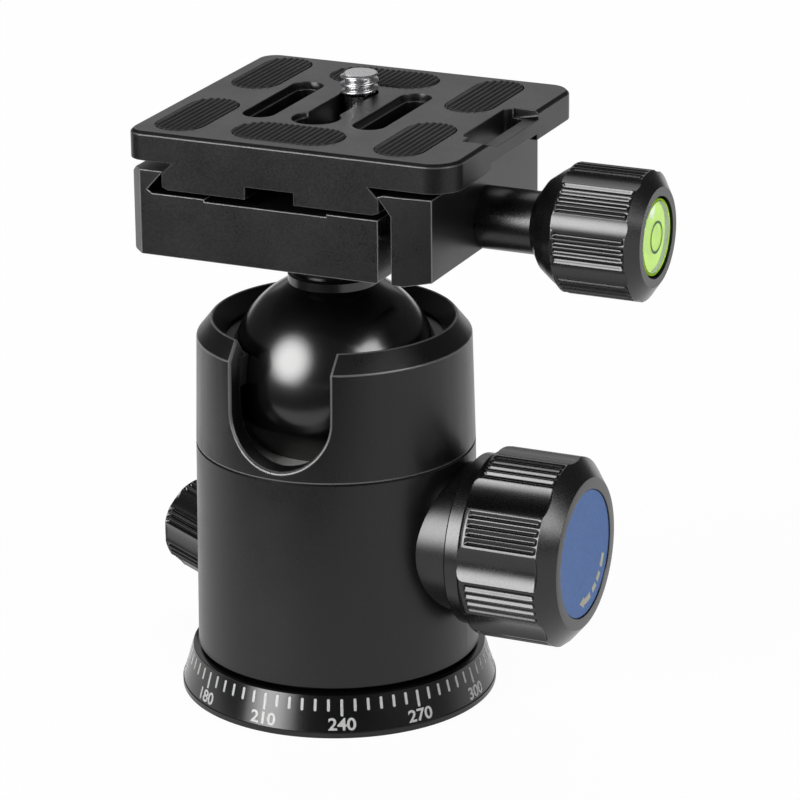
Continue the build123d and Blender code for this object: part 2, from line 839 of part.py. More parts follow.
# ---- ball and stem ------------------------------------------------------------
def ball():
    sphere = Pos(0, 0, ball_centre_z) * Sphere(ball_radius)
    sphere -= rod(ball_radius, ball_flat_z, ball_flat_z + ball_radius)
    spigot_tip_z = ball_centre_z - stem_spigot_depth
    sphere -= rod(stem_spigot_radius + fit_gap, spigot_tip_z - fit_gap, ball_flat_z + overshoot)
    cross_end = stem_spigot_radius + 2 * fit_gap
    return sphere - along_x(rod(lock_pin_radius + running_gap, -ball_radius, cross_end), ball_centre_z)


def ball_stem():
    seat_z = ball_flat_z + fit_gap
    spigot_tip_z = ball_centre_z - stem_spigot_depth
    stem = turned(
        (0, spigot_tip_z),
        (stem_spigot_radius, spigot_tip_z),
        (stem_spigot_radius, seat_z),
        (stem_collar_radius, seat_z),
        (stem_collar_radius, stem_collar_top_z - stem_collar_bevel),
        (stem_collar_radius - stem_collar_bevel, stem_collar_top_z),
        (stem_waist_radius, stem_collar_top_z),
        (stem_waist_radius, stem_flange_low_z),
        (stem_flange_radius - stem_flange_bevel, stem_flange_low_z),
        (stem_flange_radius, stem_flange_low_z + stem_flange_bevel),
        (stem_flange_radius, stem_top_z - stem_flange_bevel),
        (stem_flange_radius - stem_flange_bevel, stem_top_z),
        (0, stem_top_z),
    )
    stem -= rod(bolt_radius + running_gap, bolt_tip_z - bolt_tip_room, stem_top_z + overshoot)
    pin_hole = rod(lock_pin_radius + running_gap, -ball_radius, stem_spigot_radius + running_gap)
    return stem - along_x(pin_hole, ball_centre_z)


def stem_lock_pin():
    return along_x(rod(lock_pin_radius, lock_pin_recess - ball_radius, stem_spigot_radius), ball_centre_z)


# ---- clamp --------------------------------------------------------------------
def slope_x(side, height, gap):
    """X of the dovetail's sloping face at a height, moved away from it by a gap."""
    half_width = dovetail_half_width - (height - dovetail_slope_low_z)
    return dovetail_centre_x + side * (half_width + gap * math.sqrt(2))


def clamp_base():
    lip_top_z = flange_under_z - fixed_lip_drop
    lip_low_z = lip_top_z - lip_depth
    recess_left_x = dovetail_centre_x - clamp_recess_left
    recess_right_x = dovetail_centre_x + clamp_recess_right
    base = prism(
        [
            (clamp_left_x + clamp_bottom_bevel, clamp_bottom_z),
            (clamp_right_x - clamp_bottom_bevel, clamp_bottom_z),
            (clamp_right_x, clamp_bottom_z + clamp_bottom_bevel),
            (clamp_right_x, clamp_floor_z),
            (recess_right_x, clamp_floor_z),
            (recess_right_x, clamp_floor_z - clamp_recess_depth),
            (recess_left_x, clamp_floor_z - clamp_recess_depth),
            (recess_left_x, clamp_floor_z),
            (dovetail_left_x - fixed_floor_margin, clamp_floor_z),
            (dovetail_left_x - fixed_undercut_width, clamp_floor_z + fixed_undercut_height),
            (slope_x(-1, lip_low_z, lip_gap), lip_low_z),
            (slope_x(-1, lip_top_z, lip_gap), lip_top_z),
            (clamp_left_x + fixed_lip_bevel, lip_top_z),
            (clamp_left_x, lip_top_z - fixed_lip_bevel),
            (clamp_left_x, clamp_bottom_z + clamp_bottom_bevel),
        ],
        -clamp_half_length,
        clamp_half_length,
    )
    left_edges = base.edges().filter_by(Axis.Z).group_by(Axis.X)[0]
    base = chamfer(left_edges, clamp_corner_chamfer)
    base -= rod(bolt_radius + fit_gap, clamp_bottom_z - overshoot, clamp_floor_z)
    base -= rod(bolt_head_radius + bolt_head_gap, bolt_seat_z, clamp_floor_z + overshoot)
    thread_start_x = clamp_screw_start_x - clamp_screw_tip_room
    thread = rod(clamp_screw_radius + running_gap, thread_start_x, clamp_right_x + overshoot)
    base -= along_x(thread, clamp_axis_z)
    for side in (guide_pin_y, -guide_pin_y):
        hole = rod(guide_pin_radius + fit_gap, guide_pin_start_x - fit_gap, clamp_right_x)
        pocket = rod(spring_outer_radius + spring_side_gap, spring_pocket_x, clamp_right_x + overshoot)
        base -= along_x(hole + pocket, guide_pin_z, side)
    return base


def clamp_bolt():
    bolt = rod(bolt_radius, bolt_tip_z, bolt_seat_z)
    bolt += rod(bolt_head_radius, bolt_seat_z, bolt_head_top_z)
    socket = extrude(RegularPolygon(bolt_socket_radius, 6), amount=bolt_socket_depth + overshoot)
    return bolt - Pos(0, 0, bolt_head_top_z - bolt_socket_depth) * socket


def jaw_guide_pins():
    pin = rod(guide_pin_radius, guide_pin_start_x, guide_pin_end_x)
    sides = (guide_pin_y, -guide_pin_y)
    return Compound([along_x(pin, guide_pin_z, side).solid() for side in sides])


def jaw_springs():
    low = spring_pocket_x + running_gap
    high = jaw_left_x - running_gap
    spring = rod(spring_outer_radius, low, high)
    spring -= rod(spring_inner_radius, low - overshoot, high + overshoot)
    sides = (guide_pin_y, -guide_pin_y)
    return Compound([along_x(spring, guide_pin_z, side).solid() for side in sides])


def movable_jaw():
    nose_z = dovetail_slope_low_z + lip_depth
    top_z = flange_under_z - jaw_drop
    jaw = prism(
        [
            (jaw_left_x, clamp_bottom_z),
            (jaw_crease_x, clamp_bottom_z),
            (jaw_right_x, clamp_bottom_z + jaw_taper_height),
            (jaw_right_x, top_z),
            (dovetail_right_x + jaw_crest_margin, top_z),
            (slope_x(1, nose_z, lip_gap), nose_z),
            (slope_x(1, dovetail_slope_low_z, lip_gap), dovetail_slope_low_z),
            (jaw_left_x, dovetail_low_z + jaw_undercut_rise),
        ],
        -clamp_half_length,
        clamp_half_length,
    )
    for side in (1, -1):
        corner = Polyline(
            (jaw_crease_x, side * clamp_half_length),
            (jaw_right_x, side * (clamp_half_length - jaw_taper_depth)),
            (jaw_right_x + overshoot, side * (clamp_half_length - jaw_taper_depth)),
            (jaw_right_x + overshoot, side * (clamp_half_length + overshoot)),
            (jaw_crease_x, side * (clamp_half_length + overshoot)),
            close=True,
        )
        jaw -= Pos(0, 0, clamp_bottom_z - overshoot) * extrude(make_face(corner), amount=top_z)
    jaw -= along_x(rod(clamp_screw_radius + running_gap, 0, jaw_right_x + overshoot), clamp_axis_z)
    hole_end_x = guide_pin_end_x + guide_hole_room
    for side in (guide_pin_y, -guide_pin_y):
        jaw -= along_x(rod(guide_pin_radius + running_gap, 0, hole_end_x), guide_pin_z, side)
    return jaw


# ---- clamp knob with its bubble level -----------------------------------------
def clamp_screw():
    return along_x(rod(clamp_screw_radius, clamp_screw_start_x, clamp_screw_end_x), clamp_axis_z)


def clamp_knob_sleeve():
    sleeve = rod(sleeve_radius, jaw_right_x + running_gap, sleeve_end_x)
    sleeve -= rod(clamp_screw_radius + fit_gap, 0, sleeve_end_x + overshoot)
    return along_x(sleeve, clamp_axis_z)


def clamp_knob_core():
    core = turned(
        (0, sleeve_end_x),
        (sleeve_radius, sleeve_end_x),
        (grip_radius - cone_first_inset, cone_first_x),
        (grip_radius - cone_second_inset, cone_second_x),
        (grip_radius - cone_end_inset, grip_start_x),
        (core_spigot_radius, grip_start_x),
        (core_spigot_radius, core_spigot_end_x),
        (0, core_spigot_end_x),
    )
    return along_x(core - rod(clamp_screw_radius + fit_gap, 0, clamp_screw_end_x + fit_gap), clamp_axis_z)


def clamp_knob_grip():
    envelope = turned(
        (0, grip_start_x),
        (grip_radius - grip_back_bevel, grip_start_x),
        (grip_radius, grip_start_x + grip_back_bevel),
        (grip_radius, grip_end_x - grip_face_bevel),
        (grip_face_radius, grip_end_x),
        (0, grip_end_x),
    )
    grip = ribbed_grip(
        envelope,
        grip_radius,
        grip_start_x,
        grip_end_x,
        clamp_scallop_angle,
        clamp_scallop_width,
        clamp_scallop_radius,
        clamp_groove_pitch,
        clamp_groove_count,
    )
    return along_x(grip - rod(core_spigot_radius + fit_gap, 0, grip_end_x + overshoot), clamp_axis_z)


def level_cup():
    cup = rod(core_spigot_radius, level_back_x, level_front_x)
    cup -= rod(level_radius, level_back_x + level_floor, level_front_x + overshoot)
    return along_x(cup, clamp_axis_z)


def level_liquid():
    liquid = rod(level_radius - fit_gap, level_back_x + level_floor, level_front_x - lens_thickness)
    return along_x(liquid - level_bubble_shape(fit_gap), clamp_axis_z)


def level_bubble_shape(gap):
    """The air bubble, which floats to the top of the liquid when the knob lies flat."""
    rise = level_radius - level_bubble_margin - level_bubble_radius
    depth = level_front_x - lens_thickness - level_bubble_radius - fit_gap
    return Pos(-rise, 0, depth) * Sphere(level_bubble_radius + gap / 2)


def level_bubble():
    return along_x(level_bubble_shape(0), clamp_axis_z)


def level_lens():
    lens = rod(level_radius - fit_gap, level_front_x - lens_thickness, level_front_x)
    return along_x(lens, clamp_axis_z)


# ---- plate --------------------------------------------------------------------
def long_slot(x, front_y, back_y, width):
    """A slot with round ends along Y, as a sketch."""
    slot = SlotOverall(back_y - front_y, width, rotation=90)
    return Pos(x, (front_y + back_y) / 2) * slot


def pad_outlines(grown):
    """The four corner pads and the two centre pads, as sketches."""
    corner_width = corner_pad_width + 2 * grown
    corner_length = corner_pad_length + 2 * grown
    corners = []
    for x in (plate_left_x + corner_pad_left_margin, plate_right_x - corner_pad_right_margin):
        for y in (plate_front_y + corner_pad_front_margin, plate_back_y - corner_pad_back_margin):
            corners.append(Pos(x, y) * SlotOverall(corner_length, corner_width, rotation=90))
    centres = []
    for y in (plate_front_y + centre_pad_front_margin, plate_back_y - centre_pad_back_margin):
        outline = SlotOverall(centre_pad_width + 2 * grown, centre_pad_length + 2 * grown)
        centres.append(Pos(dovetail_centre_x, y) * outline)
    return corners, centres


def rounded_flange():
    width = plate_right_x - plate_left_x
    depth = plate_back_y - plate_front_y
    outline = Pos(plate_left_x, plate_front_y) * Rectangle(width, depth, align=(Align.MIN, Align.MIN))
    for x, y, radius in (
        (plate_left_x, plate_front_y, plate_front_left_radius),
        (plate_right_x, plate_front_y, plate_front_right_radius),
        (plate_left_x, plate_back_y, plate_back_left_radius),
        (plate_right_x, plate_back_y, plate_back_right_radius),
    ):
        corner = outline.vertices().sort_by_distance((x, y, 0))[0]
        outline = fillet(corner, radius)
    flange = Pos(0, 0, flange_under_z) * extrude(outline, amount=plate_thickness)
    return chamfer(flange.edges().group_by(Axis.Z)[-1], plate_top_bevel)


def dovetail():
    foot_z = dovetail_low_z + dovetail_foot_height
    groove_half_width = camera_head_radius + camera_head_gap
    right = [
        (groove_half_width, groove_top_z),
        (groove_half_width, dovetail_low_z),
        (dovetail_half_width - dovetail_foot_bevel, dovetail_low_z),
        (dovetail_half_width, foot_z),
        (dovetail_half_width, dovetail_slope_low_z),
        (dovetail_half_width - dovetail_slope_width, flange_under_z),
    ]
    outline = right + [(-x, z) for x, z in reversed(right)]
    outline = [(dovetail_centre_x + x, z) for x, z in outline]
    return prism(outline, plate_front_y, plate_back_y)


def plate():
    body = rounded_flange() + dovetail()
    low = dovetail_low_z - overshoot
    high = plate_top_z + overshoot
    ledge_z = plate_top_z - slot_ledge_depth
    for side in (1, -1):
        x = dovetail_centre_x + side * side_slot_offset
        wide = long_slot(x, slot_front_y, slot_back_y, slot_width)
        front_y = slot_front_y + slot_ledge_width
        back_y = slot_back_y - slot_ledge_width
        narrow = long_slot(x, front_y, back_y, slot_width - 2 * slot_ledge_width)
        body -= Pos(0, 0, ledge_z) * extrude(wide, amount=high - ledge_z)
        body -= Pos(0, 0, low) * extrude(narrow, amount=high - low)
    entry_y = slot_front_y + entry_radius
    centre_slot = long_slot(dovetail_centre_x, entry_y - slot_width / 2, slot_back_y, slot_width)
    body -= Pos(0, 0, low) * extrude(centre_slot, amount=high - low)
    counterbore_z = plate_top_z - entry_counterbore_depth
    entry = rod(entry_radius, low, high)
    entry += rod(entry_radius + entry_counterbore_width, counterbore_z, high)
    body -= Pos(dovetail_centre_x, entry_y) * entry
    pocket_z = plate_top_z - pad_pocket_depth
    corners, centres = pad_outlines(pad_gap)
    for outline in corners + centres:
        body -= Pos(0, 0, pocket_z) * extrude(outline, amount=high - pocket_z)
    return body - strap_cut_out()


def strap_cut_out():
    """The strap slot at the plate's right edge and the lowered bar beside it."""
    edge = plate_right_x + overshoot
    low = flange_under_z - overshoot
    high = plate_top_z + overshoot
    slot_y = (strap_slot_front_y, strap_slot_back_y)
    slot = block((strap_slot_left_x, strap_bar_left_x), slot_y, (low, high))
    slot = fillet(slot.edges().filter_by(Axis.Z), strap_slot_corner)
    notch_z = plate_top_z - strap_lowering
    notch_x = strap_slot_left_x + strap_slot_corner
    ramp_y = strap_slot_front_y - strap_ramp_lead
    back_y = strap_slot_back_y + strap_notch_back_lead
    notch = Polyline(
        (notch_x, ramp_y, plate_top_z),
        (notch_x, ramp_y + strap_ramp_length, notch_z),
        (notch_x, back_y, notch_z),
        (notch_x, back_y, high),
        (notch_x, ramp_y, high),
        close=True,
    )
    lowered = extrude(make_face(notch), amount=edge - notch_x, dir=(1, 0, 0))
    relief_y = (strap_slot_front_y - strap_relief_lead, strap_slot_back_y)
    relief = block((notch_x, edge), relief_y, (low, notch_z - strap_bar_thickness))
    return slot + lowered + relief


def pads(outlines):
    low = plate_top_z - pad_pocket_depth
    solids = [(Pos(0, 0, low) * extrude(outline, amount=pad_thickness)).solid() for outline in outlines]
    return Compound([chamfer(pad.edges().group_by(Axis.Z)[-1], pad_edge_bevel).solid() for pad in solids])


def corner_pads():
    return pads(pad_outlines(0)[0])


def centre_pads():
    return pads(pad_outlines(0)[1])


# ---- camera screw -------------------------------------------------------------
def camera_washer():
    high = groove_top_z - running_gap
    washer = rod(camera_head_radius, high - camera_washer_thickness, high)
    washer -= rod(camera_neck_radius + running_gap, 0, high + overshoot)
    return Pos(dovetail_centre_x, camera_screw_y) * washer


def camera_screw():
    head_top = groove_top_z - 2 * running_gap - camera_washer_thickness
    thread_low = plate_top_z + running_gap
    thread_top = thread_low + camera_thread_length
    screw = turned(
        (0, head_top - camera_head_height),
        (camera_head_radius, head_top - camera_head_height),
        (camera_head_radius, head_top),
        (camera_neck_radius, head_top),
        (camera_neck_radius, thread_low),
        (camera_thread_radius, thread_low),
        (camera_thread_radius, thread_top - camera_thread_bevel),
        (camera_thread_radius - camera_thread_bevel, thread_top),
        (0, thread_top),
    )
    head_low = head_top - camera_head_height
    half = coin_slot_width / 2
    reach = (-camera_head_radius - overshoot, camera_head_radius + overshoot)
    screw -= block(reach, (-half, half), (head_low - overshoot, head_low + coin_slot_depth))
    return Pos(dovetail_centre_x, camera_screw_y) * screw


# ---- write one file for each piece --------------------------------------------
pieces = (
    base_disc,
    dial_ring,
    thread_bushing,
    thrust_washers,
    pan_drum,
    drum_screws,
    lower_body,
    upper_housing,
    housing_set_screw,
    upper_seat_ring,
    floor_plate,
    knob_collar,
    pan_bush,
    pan_brake_shoe,
    pan_screw,
    pan_knob_grip,
    pressure_wedge,
    ball_cup,
    main_screw,
    main_knob_hub,
    main_knob_grip,
    main_knob_disc,
    ball,
    ball_stem,
    stem_lock_pin,
    clamp_base,
    clamp_bolt,
    jaw_guide_pins,
    jaw_springs,
    movable_jaw,
    clamp_screw,
    clamp_knob_sleeve,
    clamp_knob_core,
    clamp_knob_grip,
    level_cup,
    level_liquid,
    level_bubble,
    level_lens,
    plate,
    corner_pads,
    centre_pads,
    camera_washer,
    camera_screw,
)

for piece in pieces:
    export_step(piece(), f"parts/{piece.__name__}.step")
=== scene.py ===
import json
import math

import bmesh
import bpy
from mathutils import Matrix, Vector

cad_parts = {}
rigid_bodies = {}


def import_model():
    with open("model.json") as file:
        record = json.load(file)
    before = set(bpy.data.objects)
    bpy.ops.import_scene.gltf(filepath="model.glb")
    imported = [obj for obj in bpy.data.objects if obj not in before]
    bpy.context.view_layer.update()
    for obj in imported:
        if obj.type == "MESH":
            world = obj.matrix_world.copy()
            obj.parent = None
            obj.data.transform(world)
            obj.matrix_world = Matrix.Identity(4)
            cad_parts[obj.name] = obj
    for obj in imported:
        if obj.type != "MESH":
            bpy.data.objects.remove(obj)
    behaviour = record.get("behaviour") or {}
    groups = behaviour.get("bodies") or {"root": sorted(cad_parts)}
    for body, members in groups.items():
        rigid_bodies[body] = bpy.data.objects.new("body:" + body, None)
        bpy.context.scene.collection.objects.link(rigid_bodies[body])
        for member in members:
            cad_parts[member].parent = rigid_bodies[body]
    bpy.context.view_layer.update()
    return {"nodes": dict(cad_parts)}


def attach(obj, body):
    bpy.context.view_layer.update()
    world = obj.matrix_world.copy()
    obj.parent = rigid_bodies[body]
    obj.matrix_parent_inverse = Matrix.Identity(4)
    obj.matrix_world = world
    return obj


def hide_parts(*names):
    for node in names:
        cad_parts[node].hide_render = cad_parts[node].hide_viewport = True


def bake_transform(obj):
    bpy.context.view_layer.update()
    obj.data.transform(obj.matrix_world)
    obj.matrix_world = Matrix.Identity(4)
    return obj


for leftover in list(bpy.data.objects):
    bpy.data.objects.remove(leftover)
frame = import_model()
MM = 0.001

# ---- Table, soft boxes and camera ------------------------------------------------------
# The head stands on a pale paper sweep, under a large soft box at the front left, a smaller
# one at the right and a dim ceiling, and a long lens looks down on it. The dark cloth on the
# table in front of it shows in reflections only.
WHITE = (1, 1, 1, 1)
FLOOR_HALF = 12.0
FLOOR_DROP = 0.02 * MM
FLOOR_PALE = (0.90, 0.90, 0.90, 1.0)
FLOOR_GLOW = 1.06
FLOOR_GLOW_SHARE = 0.90
DARK_CLOTH_DISTANCE = 0.114
DARK_CLOTH_TURN = math.radians(-19.0)
DARK_CLOTH_REACH = 1.2
DARK_CLOTH_LIFT = 0.3 * MM
DARK_CLOTH_LEVEL = 0.03
CEILING_LEVEL = 0.10
HORIZON_LEVEL = 0.35
HORIZON_TOP = math.sin(math.radians(4.0))


def add_node(tree, kind, links=None, **settings):
    """A node whose inputs are set from values or joined to other nodes' outputs."""
    made = tree.nodes.new(kind)
    for label, value in settings.items():
        setattr(made, label, value)
    for label, value in (links or {}).items():
        if isinstance(value, bpy.types.NodeSocket):
            tree.links.new(value, made.inputs[label])
        else:
            made.inputs[label].default_value = value
    return made


def combine(tree, operation, first, second):
    """The result of a math node that is fed two values or outputs."""
    return add_node(tree, "ShaderNodeMath", {0: first, 1: second}, operation=operation).outputs[0]


def plain_finish(name, values):
    """A material with some of its shader's inputs set, and that shader."""
    material = bpy.data.materials.new(name)
    material.use_nodes = True
    shader = material.node_tree.nodes["Principled BSDF"]
    for label, value in values.items():
        shader.inputs[label].default_value = value
    return material, shader


def flat_sheet(name, half, place, material):
    """A square sheet on the table, from half its width and the matrix that sets it in place."""
    sheet = bmesh.new()
    bmesh.ops.create_grid(sheet, x_segments=1, y_segments=1, size=half)
    sheet.transform(place)
    data = bpy.data.meshes.new(name)
    sheet.to_mesh(data)
    sheet.free()
    data.materials.append(material)
    piece = bpy.data.objects.new(name, data)
    bpy.context.scene.collection.objects.link(piece)
    return piece


# The paper glows for the camera, for reflections and through glass, so that it shows white.
floor_paper, paper = plain_finish(
    "sweep_paper",
    {"Base Color": FLOOR_PALE, "Roughness": 0.9, "Specular IOR Level": 0.0},
)
tree = floor_paper.node_tree
paths = add_node(tree, "ShaderNodeLightPath").outputs
seen = combine(tree, "MAXIMUM", paths["Is Camera Ray"], paths["Is Glossy Ray"])
seen_or_clear = combine(tree, "MAXIMUM", seen, paths["Is Transmission Ray"])
share = combine(tree, "MULTIPLY", seen_or_clear, FLOOR_GLOW_SHARE)
glow = add_node(tree, "ShaderNodeEmission", {"Color": WHITE, "Strength": FLOOR_GLOW})
mixed = add_node(tree, "ShaderNodeMixShader", {0: share, 1: paper.outputs[0], 2: glow.outputs[0]})
tree.links.new(mixed.outputs[0], tree.nodes["Material Output"].inputs["Surface"])
floor = flat_sheet("table_sweep", FLOOR_HALF, Matrix.Translation((0, 0, -FLOOR_DROP)), floor_paper)

cloth_black, _ = plain_finish(
    "cloth_black",
    {"Base Color": (DARK_CLOTH_LEVEL, DARK_CLOTH_LEVEL, DARK_CLOTH_LEVEL, 1), "Roughness": 1.0},
)
forward = Matrix.Translation((0, -DARK_CLOTH_DISTANCE - DARK_CLOTH_REACH, DARK_CLOTH_LIFT))
cloth_place = Matrix.Rotation(DARK_CLOTH_TURN, 4, "Z") @ forward
cloth = flat_sheet("dark_cloth", DARK_CLOTH_REACH, cloth_place, cloth_black)
cloth.visible_camera = False
cloth.visible_diffuse = False
cloth.visible_transmission = False
cloth.visible_shadow = False

world = bpy.data.worlds.new("dim_ceiling")
bpy.context.scene.world = world
world.use_nodes = True
tree = world.node_tree
direction = add_node(tree, "ShaderNodeTexCoord").outputs["Generated"]
height = add_node(tree, "ShaderNodeSeparateXYZ", {0: direction}).outputs["Z"]
level = add_node(
    tree,
    "ShaderNodeMapRange",
    {"Value": height, "From Max": HORIZON_TOP, "To Min": HORIZON_LEVEL, "To Max": CEILING_LEVEL},
    interpolation_type="SMOOTHSTEP",
).outputs["Result"]
to_camera = add_node(tree, "ShaderNodeLightPath").outputs["Is Camera Ray"]
strength = combine(tree, "MAXIMUM", level, to_camera)
tree.links.new(strength, tree.nodes["Background"].inputs["Strength"])
tree.nodes["Background"].inputs["Color"].default_value = WHITE

LAMP_CENTRE = Vector((0, 0, 55 * MM))


def soft_box(name, shape, aim, distance, size, radiance, turn=0.0):
    """A soft box that looks at the ball, from its azimuth from -Y towards +X and its height angle."""
    azimuth, height_angle = (math.radians(angle) for angle in aim)
    width, height = size
    lamp = bpy.data.lights.new(name, "AREA")
    lamp.shape = shape
    lamp.size = width
    lamp.size_y = height
    surface = width * height * (math.pi / 4 if shape == "ELLIPSE" else 1)
    lamp.energy = radiance * math.pi * surface
    box = bpy.data.objects.new(name, lamp)
    bpy.context.scene.collection.objects.link(box)
    outward = Vector((math.sin(azimuth), -math.cos(azimuth), math.tan(height_angle))).normalized()
    place = Matrix.Translation(LAMP_CENTRE + distance * outward)
    spin = Matrix.Rotation(azimuth, 4, "Z") @ Matrix.Rotation(math.pi / 2 - height_angle, 4, "X")
    box.matrix_world = place @ spin @ Matrix.Rotation(math.radians(turn), 4, "Z")
    box.visible_camera = False
    return box


# A sheen is a lamp that shows in reflections only, in front of the soft box that lights the
# head. The key's is three discs, one before the other, so that its reflection fades outwards.
KEY_AIM = (-29.0, 21.0)
KEY_DISTANCE = 1.15
KEY_GAP = 0.05
KEY_DISCS = (25.5, 19.5, 13.5)
DISC_GAP = 0.02
SIDE_AIM = (77.0, 27.5)
SIDE_SIZE = (0.95, 0.6)
SIDE_TURN = -12.0
soft_box("key_box", "ELLIPSE", KEY_AIM, distance=KEY_DISTANCE + KEY_GAP, size=(0.9, 0.9), radiance=3.0)
sheens = []
for order, half_angle in enumerate(KEY_DISCS):
    across = 2 * KEY_DISTANCE * math.tan(math.radians(half_angle))
    closer = KEY_DISTANCE - DISC_GAP * order
    sheens.append(soft_box(f"key_sheen_{order}", "ELLIPSE", KEY_AIM, closer, (across, across), radiance=4.0))
soft_box("side_box", "RECTANGLE", SIDE_AIM, distance=1.35, size=SIDE_SIZE, radiance=1.8, turn=SIDE_TURN)
sheens.append(soft_box("side_sheen", "RECTANGLE", SIDE_AIM, 1.30, SIDE_SIZE, radiance=7.0, turn=SIDE_TURN))
soft_box("rear_fill", "ELLIPSE", (-150.0, 50.0), distance=1.6, size=(1.2, 1.2), radiance=1.4)
sheens.append(soft_box("back_sheen", "RECTANGLE", (-155.5, 20.0), 1.5, (1.3, 0.6), radiance=0.55))
for sheen in sheens:
    sheen.visible_diffuse = False

CAMERA_PLACE = Vector((286.976, -603.862, 285.592)) * MM
CAMERA_AZIMUTH = math.radians(24.50)
CAMERA_TILT = math.radians(90 - 19.45)
CAMERA_ROLL = math.radians(-0.57)
CAMERA_LENS = 191.67
CAMERA_SENSOR = 36.0
camera_data = bpy.data.cameras.new("long_lens")
camera_data.lens = CAMERA_LENS
camera_data.sensor_width = CAMERA_SENSOR
camera_data.clip_start = 0.01
camera_data.clip_end = 100.0
camera = bpy.data.objects.new("long_lens", camera_data)
bpy.context.scene.collection.objects.link(camera)
heading = Matrix.Rotation(CAMERA_AZIMUTH, 4, "Z") @ Matrix.Rotation(CAMERA_TILT, 4, "X")
camera.matrix_world = Matrix.Translation(CAMERA_PLACE) @ heading @ Matrix.Rotation(CAMERA_ROLL, 4, "Z")
bpy.context.scene.camera = camera
bpy.context.scene.view_settings.view_transform = "Standard"

# ---- Base disc -------------------------------------------------------------------------
# The base is turned from aluminium, blasted with fine beads and anodised black. It carries
# the steel tripod bushing, and the boss in its middle is the axle of the panning body.
# Marked edges are painted this pale grey, a painted highlight along them.
EDGE_HIGHLIGHT_GREY = (0.8, 0.8, 0.8, 1.0)


def new_group(name, inputs, outputs):
    """A node group with float or colour sockets, and its two end nodes."""
    group = bpy.data.node_groups.new(name, "ShaderNodeTree")
    kinds = {float: "NodeSocketFloat", tuple: "NodeSocketColor"}
    for label, value in inputs.items():
        socket = group.interface.new_socket(name=label, in_out="INPUT", socket_type=kinds[type(value)])
        socket.default_value = value
    for label, kind in outputs.items():
        group.interface.new_socket(name=label, in_out="OUTPUT", socket_type=kinds[kind])
    return group, group.nodes.new("NodeGroupInput"), group.nodes.new("NodeGroupOutput")


def blasted_grain_group():
    """Bead-blasted metal: a fine speckle, broad smudges, and the grain's height."""
    group, start, end = new_group(
        "blasted_grain",
        {
            "Dark": (0.004, 0.004, 0.004, 1.0),
            "Pale": (0.01, 0.01, 0.01, 1.0),
            "Smooth": 0.3,
            "Rough": 0.4,
            "Grains per metre": 4000.0,
        },
        {"Color": tuple, "Roughness": float, "Height": float},
    )
    where = add_node(group, "ShaderNodeTexCoord").outputs["Object"]
    grains = start.outputs["Grains per metre"]
    fine = add_node(
        group,
        "ShaderNodeTexNoise",
        {"Vector": where, "Scale": grains, "Detail": 1.5, "Roughness": 0.6},
    ).outputs["Fac"]
    smudge = add_node(
        group,
        "ShaderNodeTexNoise",
        {"Vector": where, "Scale": 90.0, "Detail": 3.0},
    ).outputs["Fac"]
    tone = add_node(group, "ShaderNodeMapRange", {"Value": fine, "From Min": 0.3, "From Max": 0.7})
    colour = add_node(
        group,
        "ShaderNodeMix",
        {"Factor": tone.outputs["Result"], "A": start.outputs["Dark"], "B": start.outputs["Pale"]},
        data_type="RGBA",
    )
    rough = add_node(
        group,
        "ShaderNodeMapRange",
        {
            "Value": combine(group, "ADD", fine, smudge),
            "From Min": 0.7,
            "From Max": 1.3,
            "To Min": start.outputs["Smooth"],
            "To Max": start.outputs["Rough"],
        },
    )
    group.links.new(colour.outputs["Result"], end.inputs["Color"])
    group.links.new(rough.outputs["Result"], end.inputs["Roughness"])
    group.links.new(fine, end.inputs["Height"])
    return group


blasted_grain = blasted_grain_group()


def blasted_finish(
    name,
    dark,
    pale,
    smooth,
    rough,
    grains=4000.0,
    depth=0.002 * MM,
    ior=1.5,
    metallic=0.0,
    specular=0.5,
    edge_highlight=0.0,
):
    """A blasted metal or moulded surface, paler where its broken edges are marked: a painted highlight."""
    material, shader = plain_finish(name, {"IOR": ior, "Metallic": metallic, "Specular IOR Level": specular})
    tree = material.node_tree
    grain = add_node(
        tree,
        "ShaderNodeGroup",
        {
            "Dark": (*dark, 1.0),
            "Pale": (*pale, 1.0),
            "Smooth": smooth,
            "Rough": rough,
            "Grains per metre": grains,
        },
        node_tree=blasted_grain,
    ).outputs
    bump = add_node(tree, "ShaderNodeBump", {"Height": grain["Height"], "Distance": depth})
    colour = grain["Color"]
    # A painted highlight: pale grey is mixed into the colour on the marked edges.
    if edge_highlight:
        edges = add_node(tree, "ShaderNodeAttribute", attribute_name="painted_edge_highlight")
        share = combine(tree, "MULTIPLY", edges.outputs["Fac"], edge_highlight)
        colour = add_node(
            tree,
            "ShaderNodeMix",
            {"Factor": share, "A": colour, "B": EDGE_HIGHLIGHT_GREY},
            data_type="RGBA",
        ).outputs["Result"]
    tree.links.new(colour, shader.inputs["Base Color"])
    tree.links.new(grain["Roughness"], shader.inputs["Roughness"])
    tree.links.new(bump.outputs["Normal"], shader.inputs["Normal"])
    return material


def paint(material, *names):
    """Gives a CAD node's surface its finish."""
    for name in names:
        for held in frame["nodes"][name].material_slots:
            held.material = material


anodised_black = blasted_finish(
    "anodised_black", (0.003, 0.003, 0.0032), (0.007, 0.007, 0.0074), 0.27, 0.37, ior=1.43, edge_highlight=0.22
)
turned_steel = blasted_finish(
    "turned_steel", (0.45, 0.45, 0.46), (0.62, 0.62, 0.63), 0.22, 0.34, metallic=1.0
)
washer_white = blasted_finish("washer_white", (0.72, 0.71, 0.68), (0.82, 0.81, 0.78), 0.45, 0.60)
plain_aluminium = blasted_finish(
    "plain_aluminium", (0.55, 0.55, 0.56), (0.7, 0.7, 0.71), 0.28, 0.42, metallic=1.0
)
paint(anodised_black, "base_disc")
paint(turned_steel, "thread_bushing", "drum_screws")
paint(washer_white, "thrust_washers")
paint(plain_aluminium, "pan_drum")

